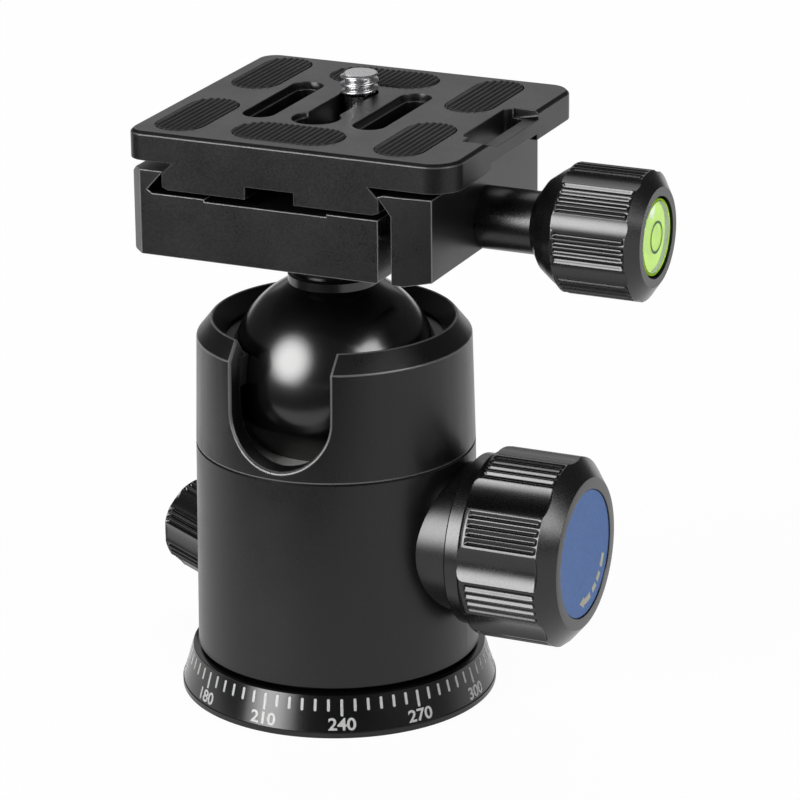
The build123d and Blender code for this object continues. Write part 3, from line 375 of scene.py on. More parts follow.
# ---- Dial ring with its degrees --------------------------------------------------------
# A conical ring of glossy black anodised aluminium is pressed on the base. Its degree marks
# and numbers are engraved and filled with white enamel.
CONE_FOOT = (26.45 * MM, 1.0 * MM)
CONE_TOP = (24.73 * MM, 6.75 * MM)
CONE_LEAN = math.atan2(CONE_FOOT[0] - CONE_TOP[0], CONE_TOP[1] - CONE_FOOT[1])
CONE_BORE = 22.02
CONE_EDGE = (0.2, 0.1)
MARK_TOP = 5.5 * MM
LONG_MARK = 2.85 * MM
SHORT_MARK = 2.05 * MM
MARK_WIDTH = 0.47 * MM
MARK_ROUNDING = 0.4 * MARK_WIDTH
MARK_STEP = 5
NUMBER_STEP = 30
DIAL_TURN = math.radians(240 - 25.99)
NUMBER_HEIGHT = 2.1 * MM
NUMBER_WIDENING = 1.12
NUMBER_WEIGHT = 0.022
NUMBER_CENTRE = 1.22 * MM
ENAMEL_PROUD = 0.02 * MM
ENAMEL_DEPTH = 0.10 * MM
WELD = 0.0005 * MM
SOFT_CREASE = 30.0


def smooth_piece(name, mesh, material, body, crease=SOFT_CREASE):
    """Links a finished mesh as a piece, smooth but for its creases, riding on its body if it has one."""
    data = bpy.data.meshes.new(name)
    mesh.to_mesh(data)
    mesh.free()
    data.materials.append(material)
    data.shade_smooth()
    data.set_sharp_from_angle(angle=math.radians(crease))
    piece = bpy.data.objects.new(name, data)
    bpy.context.scene.collection.objects.link(piece)
    if body:
        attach(piece, body)
    return piece


def turned(outline, steps):
    """A shape turned about the X axis, from the outline of its half section as (x, radius) in mm."""
    shape = bmesh.new()
    corners = [shape.verts.new((along * MM, -radius * MM, 0)) for along, radius in outline]
    edges = [shape.edges.new(pair) for pair in zip(corners, corners[1:])]
    bmesh.ops.spin(
        shape,
        geom=corners + edges,
        cent=(0, 0, 0),
        axis=(1, 0, 0),
        angle=2 * math.pi,
        steps=steps,
        use_merge=True,
    )
    bmesh.ops.remove_doubles(shape, verts=shape.verts, dist=WELD)
    bmesh.ops.recalc_face_normals(shape, faces=shape.faces)
    return shape


def stamp(target, pattern, place):
    """Adds a copy of a small mesh to a larger one, set in place by a matrix."""
    copy = pattern.copy()
    copy.transform(place)
    held = bpy.data.meshes.new("held")
    copy.to_mesh(held)
    copy.free()
    target.from_mesh(held)
    bpy.data.meshes.remove(held)


def on_cone(azimuth, climb):
    """The matrix that stands a mark on the cone: X round it, Y up its slope, Z outwards."""
    lie = Matrix.Rotation(math.pi / 2 - CONE_LEAN, 4, "X")
    foot = Matrix.Translation((0, -CONE_FOOT[0], CONE_FOOT[1]))
    return Matrix.Rotation(azimuth, 4, "Z") @ foot @ lie @ Matrix.Translation((0, climb, ENAMEL_PROUD))


def enamel_mark(length):
    """A bar of enamel with rounded ends, hanging down from its top."""
    bar = bmesh.new()
    bmesh.ops.create_cube(bar, size=1.0)
    bmesh.ops.scale(bar, vec=(MARK_WIDTH, length, ENAMEL_DEPTH), verts=bar.verts)
    bmesh.ops.translate(bar, vec=(0, -length / 2, -ENAMEL_DEPTH / 2), verts=bar.verts)
    upright = [edge for edge in bar.edges if abs(edge.verts[0].co.z - edge.verts[1].co.z) > ENAMEL_DEPTH / 2]
    bmesh.ops.bevel(
        bar, geom=upright, offset=MARK_ROUNDING, segments=3, profile=0.5, affect="EDGES", material=-1
    )
    return bar


dial_black = blasted_finish(
    "dial_black", (0.003, 0.003, 0.003), (0.006, 0.006, 0.006), 0.15, 0.20, depth=0.0005 * MM
)
foot_radius, foot_height = (size / MM for size in CONE_FOOT)
top_radius, top_height = (size / MM for size in CONE_TOP)
dial = turned(
    [
        (foot_height, CONE_BORE),
        (foot_height, foot_radius),
        (top_height, top_radius),
        (top_height + CONE_EDGE[1], top_radius - CONE_EDGE[0]),
        (top_height + CONE_EDGE[1], CONE_BORE),
        (foot_height, CONE_BORE),
    ],
    steps=256,
)
dial.transform(Matrix.Rotation(-math.pi / 2, 4, "Y"))
dial = smooth_piece("dial_cone", dial, dial_black, "base")
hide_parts("dial_ring")

enamel_white = blasted_finish(
    "enamel_white", (0.84, 0.84, 0.83), (0.93, 0.93, 0.92), 0.35, 0.5, depth=0.001 * MM
)
long_bar = enamel_mark(LONG_MARK)
short_bar = enamel_mark(SHORT_MARK)
marks = bmesh.new()
for degree in range(0, 360, MARK_STEP):
    bar = short_bar if degree % NUMBER_STEP else long_bar
    stamp(marks, bar, on_cone(math.radians(degree) - DIAL_TURN, MARK_TOP))
long_bar.free()
short_bar.free()
smooth_piece("dial_marks", marks, enamel_white, "base")

numbers = bmesh.new()
for degree in range(0, 360, NUMBER_STEP):
    font = bpy.data.curves.new("figure", "FONT")
    font.body = str(degree)
    font.align_x = "CENTER"
    font.align_y = "CENTER"
    font.size = 1.0
    font.offset = NUMBER_WEIGHT
    font.extrude = 0.5
    holder = bpy.data.objects.new("figure", font)
    bpy.context.scene.collection.objects.link(holder)
    bpy.context.view_layer.update()
    figures = bpy.data.meshes.new_from_object(holder)
    bpy.data.objects.remove(holder)
    letters = bmesh.new()
    letters.from_mesh(figures)
    bpy.data.meshes.remove(figures)
    bmesh.ops.remove_doubles(letters, verts=letters.verts, dist=0.0001)
    heights = [vert.co.y for vert in letters.verts]
    size = NUMBER_HEIGHT / (max(heights) - min(heights))
    bmesh.ops.scale(letters, vec=(size * NUMBER_WIDENING, size, ENAMEL_DEPTH), verts=letters.verts)
    bmesh.ops.translate(letters, vec=(0, 0, -ENAMEL_DEPTH / 2), verts=letters.verts)
    for vert in letters.verts:
        azimuth = math.radians(degree) - DIAL_TURN + vert.co.x / CONE_FOOT[0]
        vert.co = on_cone(azimuth, NUMBER_CENTRE) @ Vector((0, vert.co.y, vert.co.z))
    stamp(numbers, letters, Matrix())
    letters.free()
smooth_piece("dial_numbers", numbers, enamel_white, "base")

# ---- Lower body, knob collar and pan bush ----------------------------------------------
# The lower body is one turned aluminium shell that pans round the base's boss. The collar
# of the main knob, a plain turned cylinder, and the panning knob's bush are let into its wall.
MAIN_AXIS = Matrix.Translation((0, 0, 29.0 * MM))
COLLAR_BACK = 19.6
COLLAR_FACE = 25.3
COLLAR_BORE = 4.05
COLLAR_RADIUS = 12.4
COLLAR_EDGE = 0.2
paint(anodised_black, "lower_body", "pan_bush")
collar_black = blasted_finish("collar_black", (0.003, 0.003, 0.003), (0.007, 0.007, 0.007), 0.26, 0.34)
collar = turned(
    [
        (COLLAR_BACK, COLLAR_BORE),
        (COLLAR_BACK, COLLAR_RADIUS),
        (COLLAR_FACE - COLLAR_EDGE, COLLAR_RADIUS),
        (COLLAR_FACE, COLLAR_RADIUS - COLLAR_EDGE),
        (COLLAR_FACE, COLLAR_BORE),
        (COLLAR_BACK, COLLAR_BORE),
    ],
    steps=128,
)
collar.transform(MAIN_AXIS)
collar = smooth_piece("collar_sleeve", collar, collar_black, "pan_body")
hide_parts("knob_collar")
black_steel = blasted_finish(
    "black_steel", (0.02, 0.02, 0.02), (0.035, 0.035, 0.036), 0.25, 0.38, metallic=0.6
)
paint(black_steel, "housing_set_screw")

# ---- Upper housing ---------------------------------------------------------------------
# The housing screws on the lower body and holds the ball. It is turned and milled from the
# same aluminium, with the U notch that lets the stem lie down to 90 degrees.
HOUSING_EDGE = 0.18 * MM
MILLED_CREASE = 40.0
SHARP_CORNER = math.radians(35)
SAME_FACE = math.radians(0.6)


def welded_copy(name):
    """A CAD node's surface, with its faces joined up."""
    copy = bmesh.new()
    copy.from_mesh(frame["nodes"][name].data)
    bmesh.ops.remove_doubles(copy, verts=copy.verts, dist=WELD)
    return copy


def flat_lit(piece):
    """Keeps a milled piece's flats flat-lit up to their broken edges."""
    weighted = piece.modifiers.new("flat_lit", "WEIGHTED_NORMAL")
    weighted.keep_sharp = True
    weighted.weight = 100
    return piece


def milled_piece(name, node, edge_break, material, body):
    """A piece shaped like a CAD node, with the sharp outer edges broken and marked for a painted highlight.
    """
    block = welded_copy(node)
    bmesh.ops.dissolve_limit(
        block, angle_limit=SAME_FACE, verts=block.verts, edges=block.edges, use_dissolve_boundaries=False
    )
    highlight_layer = block.faces.layers.float.new("painted_edge_highlight")
    closed = [edge for edge in block.edges if edge.is_manifold]
    broken = bmesh.ops.bevel(
        block,
        geom=[edge for edge in closed if edge.calc_face_angle_signed(0) > SHARP_CORNER],
        offset=edge_break,
        segments=2,
        profile=0.5,
        affect="EDGES",
        clamp_overlap=False,
        material=-1,
    )
    # The bevel's faces are marked for the painted edge highlight.
    for face in broken["faces"]:
        face[highlight_layer] = 1.0
    return flat_lit(smooth_piece(name, block, material, body, crease=MILLED_CREASE))


housing = milled_piece(
    "notched_housing", "upper_housing", HOUSING_EDGE, anodised_black, "pan_body"
)
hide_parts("upper_housing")

# ---- Ball lock inside the housing ------------------------------------------------------
# A brass wedge under the pale polymer cup lifts it against the ball when the main knob is
# turned. A dark ring seats the ball from above.
paint(plain_aluminium, "floor_plate")
brass = blasted_finish("brass_shoe", (0.60, 0.42, 0.16), (0.75, 0.55, 0.25), 0.25, 0.38, metallic=1.0)
paint(brass, "pressure_wedge", "pan_brake_shoe")
cup_white = blasted_finish("cup_polymer", (0.88, 0.87, 0.84), (0.96, 0.95, 0.92), 0.35, 0.5)
paint(cup_white, "ball_cup")
ring_black = blasted_finish("ring_black", (0.004, 0.004, 0.004), (0.008, 0.008, 0.008), 0.45, 0.6)

# The ring's top falls towards the ball, so that the stem clears it when it leans both ways.
RING_TOP = 61.18
RING_INNER = 16.9
RING_MOUTH = 16.55
RING_FALL = 0.25
TOP_BAND = 0.05
ring = welded_copy("upper_seat_ring")
for vert in ring.verts:
    reach = math.hypot(vert.co.x, vert.co.y)
    if reach < RING_INNER * MM and vert.co.z > (RING_TOP - TOP_BAND) * MM:
        vert.co.x *= RING_MOUTH * MM / reach
        vert.co.y *= RING_MOUTH * MM / reach
        vert.co.z = (RING_TOP - RING_FALL) * MM
bmesh.ops.recalc_face_normals(ring, faces=ring.faces)
ring = flat_lit(smooth_piece("seat_ring", ring, ring_black, "pan_body"))
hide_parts("upper_seat_ring")

# ---- Main locking knob -----------------------------------------------------------------
# The grip is turned aluminium, anodised black: eight milled scallops, and between them
# rounded grooves that run out before the bevels. A blue anodised disc closes its face.
SCALLOPS = 8
MILLED_DEPTH = 0.95
POCKET_START = 0.45
GROOVE_DEPTH = 0.46

# Of each pair, in mm, the first is for the rim's low end and the second for its high end.
SCALLOP_REACH = (1.35, 0.8)
GROOVE_ENDS = (0.05, 0.08)
GROOVE_RUN_OUT = (0.3, 0.55)

# The rim is cut at these distances from its ends, so that the milled shapes have points to follow.
RIM_CUTS = (0.0, 0.08, 0.16, 0.26, 0.4, 0.55, 0.75, 1.0, 1.3)
FRONT_CUTS = [0.06 * step for step in range(1, 17)]
BACK_CUTS = [0.12 * step for step in range(1, 11)]
GRIP_CREASE = 22.0


def split_at(shape, place, facing, clear_beyond=False, dist=WELD):
    """Cuts all the faces that a plane crosses, and can clear what lies beyond it."""
    bmesh.ops.bisect_plane(
        shape,
        geom=shape.verts[:] + shape.edges[:] + shape.faces[:],
        plane_co=place,
        plane_no=facing,
        dist=dist,
        clear_outer=clear_beyond,
    )


def scallop_cut(angle, radius, width, cutter):
    """How deep a scallop milled by a round cutter goes, at an angle from its middle."""
    half = math.radians(width / 2)
    if abs(angle) >= half:
        return 0.0
    chord = radius * math.sin(half)
    centre = radius * math.cos(half) + math.sqrt(cutter**2 - chord**2)
    return radius - centre * math.cos(angle) + math.sqrt(cutter**2 - (centre * math.sin(angle)) ** 2)


def groove_cut(angle, pitch, count):
    """How deep the rounded grooves go, at an angle from the middle of their group."""
    place = angle / math.radians(pitch) + count / 2
    if place <= 0 or place >= count:
        return 0.0
    return GROOVE_DEPTH * (0.5 - 0.5 * math.cos(2 * math.pi * place))


def knurled_grip(
    outline, steps, radius, low, high, turn, scallop_width, cutter, groove_pitch, grooves, pocket_round
):
    """A turned grip whose rim, between low and high, is milled with scallops and grooves."""
    grip = turned(outline, steps)
    cuts = [low + step for step in RIM_CUTS] + [high - step for step in RIM_CUTS]
    cuts += [high + step for step in FRONT_CUTS] + [low - step for step in BACK_CUTS]
    for cut in cuts:
        split_at(grip, (cut * MM, 0, 0), (1, 0, 0), dist=0.001 * MM)
    step_angle = 2 * math.pi / SCALLOPS
    for vert in grip.verts:
        along, side, up = (part / MM for part in vert.co)
        reach = math.hypot(side, up)
        if reach < radius - MILLED_DEPTH or not low - SCALLOP_REACH[0] < along < high + SCALLOP_REACH[1]:
            continue
        angle = math.atan2(up, -side) - math.radians(turn)
        from_scallop = (angle + step_angle / 2) % step_angle - step_angle / 2
        from_grooves = angle % step_angle - step_angle / 2
        deep = scallop_cut(from_scallop, radius, scallop_width, cutter)
        past = max(along - high - POCKET_START + pocket_round, 0.0)
        if past < pocket_round:
            deep -= pocket_round - math.sqrt(pocket_round**2 - past**2)
        elif pocket_round:
            deep = 0.0
        from_low = (along - low - GROOVE_ENDS[0]) / GROOVE_RUN_OUT[0]
        from_high = (high - GROOVE_ENDS[1] - along) / GROOVE_RUN_OUT[1]
        run_out = max(min(from_low, from_high, 1.0), 0.0)
        deep = max(deep, run_out * groove_cut(from_grooves, groove_pitch, grooves))
        wanted = min(reach, radius - deep)
        vert.co.y *= wanted / reach
        vert.co.z *= wanted / reach
    return grip


paint(turned_steel, "main_screw")
knob_black = blasted_finish(
    "knob_black", (0.003, 0.003, 0.0032), (0.007, 0.007, 0.0073), 0.21, 0.30, ior=1.52
)
paint(knob_black, "main_knob_hub")

# The section runs from the screw's end round the hollow back, the rim and the bevel to the
# pocket of the disc.
MAIN_RIM = 15.8
MAIN_LOW = 29.65
MAIN_HIGH = 42.35
main_outline = [
    (39.05, 0),
    (39.05, 4.02),
    (33.02, 4.02),
    (33.02, 9.02),
    (28.35, 9.02),
    (28.35, 14.95),
    (28.45, 15.22),
    (28.65, 15.46),
    (28.95, 15.65),
    (29.3, 15.76),
    (MAIN_LOW, MAIN_RIM),
    (MAIN_HIGH, MAIN_RIM),
    (44.82, 12.86),
    (44.92, 12.72),
    (44.95, 12.56),
    (44.95, 10.9),
    (44.87, 10.8),
    (43.25, 10.8),
    (43.25, 0),
]
grip = knurled_grip(
    main_outline,
    steps=960,
    radius=MAIN_RIM,
    low=MAIN_LOW,
    high=MAIN_HIGH,
    turn=5.2,
    scallop_width=20.8,
    cutter=7.0,
    groove_pitch=5.5,
    grooves=4,
    pocket_round=0.85,
)
grip.transform(MAIN_AXIS)
grip = smooth_piece("main_grip", grip, knob_black, "main_knob", crease=GRIP_CREASE)
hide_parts("main_knob_grip")

DISC_BACK = 43.3
DISC_FACE = 44.78
DISC_RADIUS = 10.7
DISC_EDGE = 0.06
disc_blue = blasted_finish(
    "disc_blue", (0.12, 0.26, 0.66), (0.17, 0.34, 0.80), 0.38, 0.5, grains=2600.0, specular=0.15
)
disc = turned(
    [
        (DISC_BACK, 0),
        (DISC_BACK, DISC_RADIUS),
        (DISC_FACE - DISC_EDGE, DISC_RADIUS),
        (DISC_FACE, DISC_RADIUS - DISC_EDGE),
        (DISC_FACE, 0),
    ],
    steps=128,
)
disc.transform(MAIN_AXIS)
disc = smooth_piece("face_disc", disc, disc_blue, "main_knob")
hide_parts("main_knob_disc")

# A dashed arrow printed on the disc shows which way the knob is turned to lock.
ARROW_RADIUS = 8.45
DASH_WIDTH = 1.1
DASHES = ((-18.5, -34.0), (-40.0, -51.0), (-55.5, -66.0), (-73.0, -93.0))
HEAD_START = -92.0
HEAD_TIP = -105.0
HEAD_WIDTH = 1.9
PRINT_PROUD = 0.025
print_cream = blasted_finish("print_cream", (0.84, 0.80, 0.58), (0.95, 0.92, 0.74), 0.5, 0.65, grains=2600.0)
arrow = bmesh.new()


def on_disc(radius, degrees):
    """A point just proud of the disc, by its distance from the axis and its angle above +Y."""
    angle = math.radians(degrees)
    return ((DISC_FACE + PRINT_PROUD) * MM, radius * math.cos(angle) * MM, radius * math.sin(angle) * MM)


for first, last in DASHES:
    ends = [arrow.verts.new(on_disc(ARROW_RADIUS + side * DASH_WIDTH / 2, first)) for side in (-1, 1)]
    line = arrow.edges.new(ends)
    bmesh.ops.spin(
        arrow,
        geom=[*ends, line],
        cent=(0, 0, 0),
        axis=(1, 0, 0),
        angle=math.radians(last - first),
        steps=8,
    )
head = [
    arrow.verts.new(on_disc(ARROW_RADIUS - HEAD_WIDTH / 2, HEAD_START)),
    arrow.verts.new(on_disc(ARROW_RADIUS + HEAD_WIDTH / 2, HEAD_START)),
    arrow.verts.new(on_disc(ARROW_RADIUS, HEAD_TIP)),
]
arrow.faces.new(head)
lifted = bmesh.ops.extrude_face_region(arrow, geom=arrow.faces[:])
back = [item for item in lifted["geom"] if isinstance(item, bmesh.types.BMVert)]
bmesh.ops.translate(arrow, vec=(-2 * PRINT_PROUD * MM, 0, 0), verts=back)
bmesh.ops.recalc_face_normals(arrow, faces=arrow.faces)
arrow.transform(MAIN_AXIS)
smooth_piece("lock_arrow", arrow, print_cream, "main_knob")

# ---- Panning lock knob -----------------------------------------------------------------
# The small knob at the back left is made like the main one. Its screw pushes the brass shoe
# on the pan drum.
PAN_AXIS = Matrix.Translation((0, 0, 14.7 * MM)) @ Matrix.Rotation(math.radians(148.8), 4, "Z")
PAN_RIM = 8.45
PAN_LOW = 27.2
PAN_HIGH = 42.5
paint(turned_steel, "pan_screw")
pan_outline = [
    (40.05, 0),
    (40.05, 2.52),
    (26.2, 2.52),
    (26.2, 7.7),
    (PAN_LOW, PAN_RIM),
    (PAN_HIGH, PAN_RIM),
    (43.9, 6.9),
    (43.9, 0),
]
grip = knurled_grip(
    pan_outline,
    steps=480,
    radius=PAN_RIM,
    low=PAN_LOW,
    high=PAN_HIGH,
    turn=0,
    scallop_width=24.0,
    cutter=4.2,
    groove_pitch=7.5,
    grooves=3,
    pocket_round=0.6,
)
grip.transform(PAN_AXIS)
grip = smooth_piece("pan_grip", grip, knob_black, "pan_knob", crease=GRIP_CREASE)
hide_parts("pan_knob_grip")

# ---- Ball and stem ---------------------------------------------------------------------
# The ball is aluminium, turned, polished and anodised glossy black. The stem is pressed in
# it and held by a cross pin.
ball_black = blasted_finish(
    "ball_black", (0.003, 0.003, 0.003), (0.004, 0.004, 0.004), 0.18, 0.22, depth=0.0002 * MM, ior=1.6
)
stem_black = blasted_finish("stem_black", (0.004, 0.004, 0.004), (0.007, 0.007, 0.007), 0.15, 0.22, ior=1.6)
paint(ball_black, "ball")
paint(stem_black, "ball_stem")
paint(turned_steel, "stem_lock_pin")

# ---- Clamp with its fixed jaw ----------------------------------------------------------
# The clamp is milled from one aluminium block, its sharp edges broken by tumbling, then
# blasted and anodised. A countersunk bolt holds it on the stem.
EDGE_BREAK = 0.15 * MM
clamp_black = blasted_finish(
    "clamp_black",
    (0.002, 0.002, 0.0022),
    (0.010, 0.010, 0.0105),
    0.27,
    0.37,
    grains=3400.0,
    ior=1.45,
    edge_highlight=0.3,
)
block = milled_piece("clamp_block", "clamp_base", EDGE_BREAK, clamp_black, "clamp")
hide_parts("clamp_base")
paint(black_steel, "clamp_bolt")
paint(turned_steel, "jaw_guide_pins")

# ---- Jaw springs -----------------------------------------------------------------------
# Two coil springs of steel wire, wound round the guide pins, push the jaw open.
SPRING_START = 13.35
SPRING_END = 20.45
SPRING_TURNS = 6
SPRING_STEPS = SPRING_TURNS * 16
SPRING_WIRE = 0.3
SPRING_RADIUS = 2.1
PIN_SIDES = (-14.0, 14.0)
PIN_HEIGHT = 83.5
springs = bmesh.new()
for side in PIN_SIDES:
    top = ((SPRING_START + SPRING_WIRE) * MM, side * MM, (PIN_HEIGHT + SPRING_RADIUS) * MM)
    wire = bmesh.ops.create_circle(
        springs,
        cap_ends=True,
        segments=8,
        radius=SPRING_WIRE * MM,
        matrix=Matrix.Translation(top) @ Matrix.Rotation(math.pi / 2, 4, "X"),
    )["verts"]
    faces = list(dict.fromkeys(face for vert in wire for face in vert.link_faces))
    edges = list(dict.fromkeys(edge for face in faces for edge in face.edges))
    bmesh.ops.spin(
        springs,
        geom=wire + edges + faces,
        cent=(0, side * MM, PIN_HEIGHT * MM),
        axis=(1, 0, 0),
        dvec=((SPRING_END - SPRING_START - 2 * SPRING_WIRE) * MM / SPRING_STEPS, 0, 0),
        angle=2 * math.pi * SPRING_TURNS,
        steps=SPRING_STEPS,
    )
bmesh.ops.recalc_face_normals(springs, faces=springs.faces)
springs = smooth_piece("jaw_coils", springs, turned_steel, None)
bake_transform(springs)
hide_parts("jaw_springs")

# ---- Movable jaw -----------------------------------------------------------------------
# The jaw slides on the two pins and is drawn in by the clamp screw. It is milled and
# finished like the clamp.
block = milled_piece("jaw_block", "movable_jaw", EDGE_BREAK, clamp_black, "jaw")
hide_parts("movable_jaw")

# ---- Clamp knob ------------------------------------------------------------------------
# The knob is turned aluminium with a glossy black core and sleeve. Its grip is milled like
# the main knob's, with nearly flat scallops, and its face is bored out for the level.
CLAMP_AXIS = Matrix.Translation((0, 0, 84.75 * MM))
CLAMP_RIM = 10.6
CLAMP_LOW = 42.95
CLAMP_HIGH = 55.3
paint(turned_steel, "clamp_screw")
gloss_black = blasted_finish("gloss_black", (0.003, 0.003, 0.003), (0.005, 0.005, 0.005), 0.25, 0.34)
paint(gloss_black, "clamp_knob_sleeve", "clamp_knob_core")
clamp_outline = [
    (42.5, 7.17),
    (42.5, 10.15),
    (42.56, 10.37),
    (42.72, 10.54),
    (CLAMP_LOW, CLAMP_RIM),
    (CLAMP_HIGH, CLAMP_RIM),
    (57.0, 8.1),
    (57.0, 6.72),
    (56.95, 6.65),
    (56.88, 6.65),
    (56.88, 7.17),
    (42.5, 7.17),
]
grip = knurled_grip(
    clamp_outline,
    steps=720,
    radius=CLAMP_RIM,
    low=CLAMP_LOW,
    high=CLAMP_HIGH,
    turn=21.2,
    scallop_width=15.5,
    cutter=5.2,
    groove_pitch=7.5,
    grooves=4,
    pocket_round=0.0,
)
grip.transform(CLAMP_AXIS)
grip = smooth_piece("clamp_grip", grip, knob_black, "clamp_knob", crease=GRIP_CREASE)
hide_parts("clamp_knob_grip")

# ---- Round bubble level ----------------------------------------------------------------
# A clear acrylic vial of lime green spirit sits in a dark cup in the knob's face. A green
# ring is printed on its window, and the bubble floats up to the vial's rim.
VIAL_RADIUS = 6.2
VIAL_WALL = 0.3
VIAL_INNER = VIAL_RADIUS - VIAL_WALL
LIQUID_BACK = 50.36
LIQUID_FRONT = 55.75
LIQUID_RADIUS = VIAL_INNER - 0.05
WINDOW_BACK = 56.45
WINDOW_FRONT = 56.72
WINDOW_RADIUS = VIAL_INNER - 0.03
WINDOW_EDGE = 0.08
WALL_FRONT = WINDOW_FRONT - 0.35
RIM_BACK = WINDOW_FRONT - 0.33
RING_RADIUS = 2.45
RING_WIDTH = 0.42
RING_BACK = WINDOW_FRONT + 0.005
RING_FRONT = WINDOW_FRONT + 0.03
BUBBLE_RADIUS = 1.3
BUBBLE_FLATNESS = 0.2
BUBBLE_RISE = 4.2


def level_part(outline, steps=96):
    """A turned part of the level, on the clamp knob's axis."""
    part = turned(outline, steps)
    part.transform(CLAMP_AXIS)
    return part


def tube_section(back, front, inner, outer):
    """The closed half section of a short tube."""
    return [(back, inner), (back, outer), (front, outer), (front, inner), (back, inner)]


paint(gloss_black, "level_cup")
level_green = blasted_finish(
    "level_green", (0.32, 0.56, 0.02), (0.46, 0.68, 0.03), 0.35, 0.45, depth=0.0, specular=0.0
)
spirit = level_green.node_tree.nodes["Principled BSDF"]
# The spirit glows faintly: painted light that brightens it behind the window.
spirit.inputs["Emission Color"].default_value = (0.45, 0.80, 0.08, 1.0)
spirit.inputs["Emission Strength"].default_value = 0.18
liquid = level_part(
    [(LIQUID_BACK, 0), (LIQUID_BACK, LIQUID_RADIUS), (LIQUID_FRONT, LIQUID_RADIUS), (LIQUID_FRONT, 0)]
)
liquid = smooth_piece("spirit", liquid, level_green, "clamp_knob")
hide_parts("level_liquid")

vial_green = blasted_finish("vial_green", (0.20, 0.26, 0.17), (0.28, 0.34, 0.24), 0.15, 0.25, depth=0.0)
wall = level_part(tube_section(LIQUID_BACK, WALL_FRONT, VIAL_INNER, VIAL_RADIUS))
smooth_piece("vial_wall", wall, vial_green, "clamp_knob")
rim = level_part(
    [
        (RIM_BACK, VIAL_INNER),
        (RIM_BACK, VIAL_RADIUS),
        (WINDOW_FRONT - WINDOW_EDGE, VIAL_RADIUS),
        (WINDOW_FRONT, VIAL_RADIUS - WINDOW_EDGE),
        (WINDOW_FRONT, VIAL_INNER),
        (RIM_BACK, VIAL_INNER),
    ]
)
smooth_piece("vial_rim", rim, level_green, "clamp_knob")

lens_clear = blasted_finish(
    "lens_clear", (0.93, 0.98, 0.90), (0.98, 1.0, 0.96), 0.02, 0.04, depth=0.0, ior=1.33
)
lens_clear.node_tree.nodes["Principled BSDF"].inputs["Transmission Weight"].default_value = 1.0
window = level_part(
    [
        (WINDOW_BACK, 0),
        (WINDOW_BACK, WINDOW_RADIUS),
        (WINDOW_FRONT - WINDOW_EDGE, WINDOW_RADIUS),
        (WINDOW_FRONT, WINDOW_RADIUS - WINDOW_EDGE),
        (WINDOW_FRONT, 0),
    ]
)
window = smooth_piece("vial_window", window, lens_clear, "clamp_knob")
window.visible_shadow = False
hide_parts("level_lens")

mark_green = blasted_finish("mark_green", (0.01, 0.09, 0.03), (0.02, 0.13, 0.05), 0.4, 0.5, depth=0.0)
ring = level_part(
    tube_section(RING_BACK, RING_FRONT, RING_RADIUS - RING_WIDTH / 2, RING_RADIUS + RING_WIDTH / 2), steps=64
)
smooth_piece("level_ring", ring, mark_green, "clamp_knob")

bubble_pale = blasted_finish("bubble_pale", (0.62, 0.80, 0.42), (0.80, 0.92, 0.66), 0.12, 0.2, depth=0.0)
bubble = bmesh.new()
bmesh.ops.create_uvsphere(bubble, u_segments=32, v_segments=16, radius=BUBBLE_RADIUS * MM)
bmesh.ops.scale(bubble, vec=(BUBBLE_FLATNESS, 1.0, 1.0), verts=bubble.verts)
bmesh.ops.translate(bubble, vec=(LIQUID_FRONT * MM, 0, BUBBLE_RISE * MM), verts=bubble.verts)
bubble.transform(CLAMP_AXIS)
bubble = smooth_piece("air_bubble", bubble, bubble_pale, "clamp_knob")
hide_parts("level_bubble")

# ---- Quick-release plate ---------------------------------------------------------------
# The plate is milled aluminium, blasted and anodised black. Six ribbed rubber pads are glued
# in shallow pockets of its top.
plate_grey = blasted_finish(
    "plate_grey",
    (0.003, 0.003, 0.0033),
    (0.012, 0.012, 0.0125),
    0.28,
    0.40,
    grains=3400.0,
    ior=1.38,
    edge_highlight=0.1,
)
block = milled_piece("release_plate", "plate", EDGE_BREAK, plate_grey, "plate")
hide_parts("plate")

RIB_PITCH = 1.04
RIB_WIDTH = 0.92
RIB_TOP = 99.65
RIB_HEIGHT = 0.42
PAD_FLOOR = 98.6
PAD_BED = 99.4
PAD_GAP = 0.12
PAD_STEPS = 64
CORNER_PADS = [(x, y) for x in (-19.4, 19.4) for y in (-9.75, 18.0)]
CORNER_SIZE = (8.3, 20.0)
CENTRE_PADS = [(-0.7, y) for y in (-14.5, 22.5)]
CENTRE_SIZE = (19.0, 9.8)
pad_rubber = blasted_finish(
    "pad_rubber", (0.007, 0.007, 0.007), (0.014, 0.014, 0.014), 0.55, 0.75, grains=2500.0, specular=0.3
)


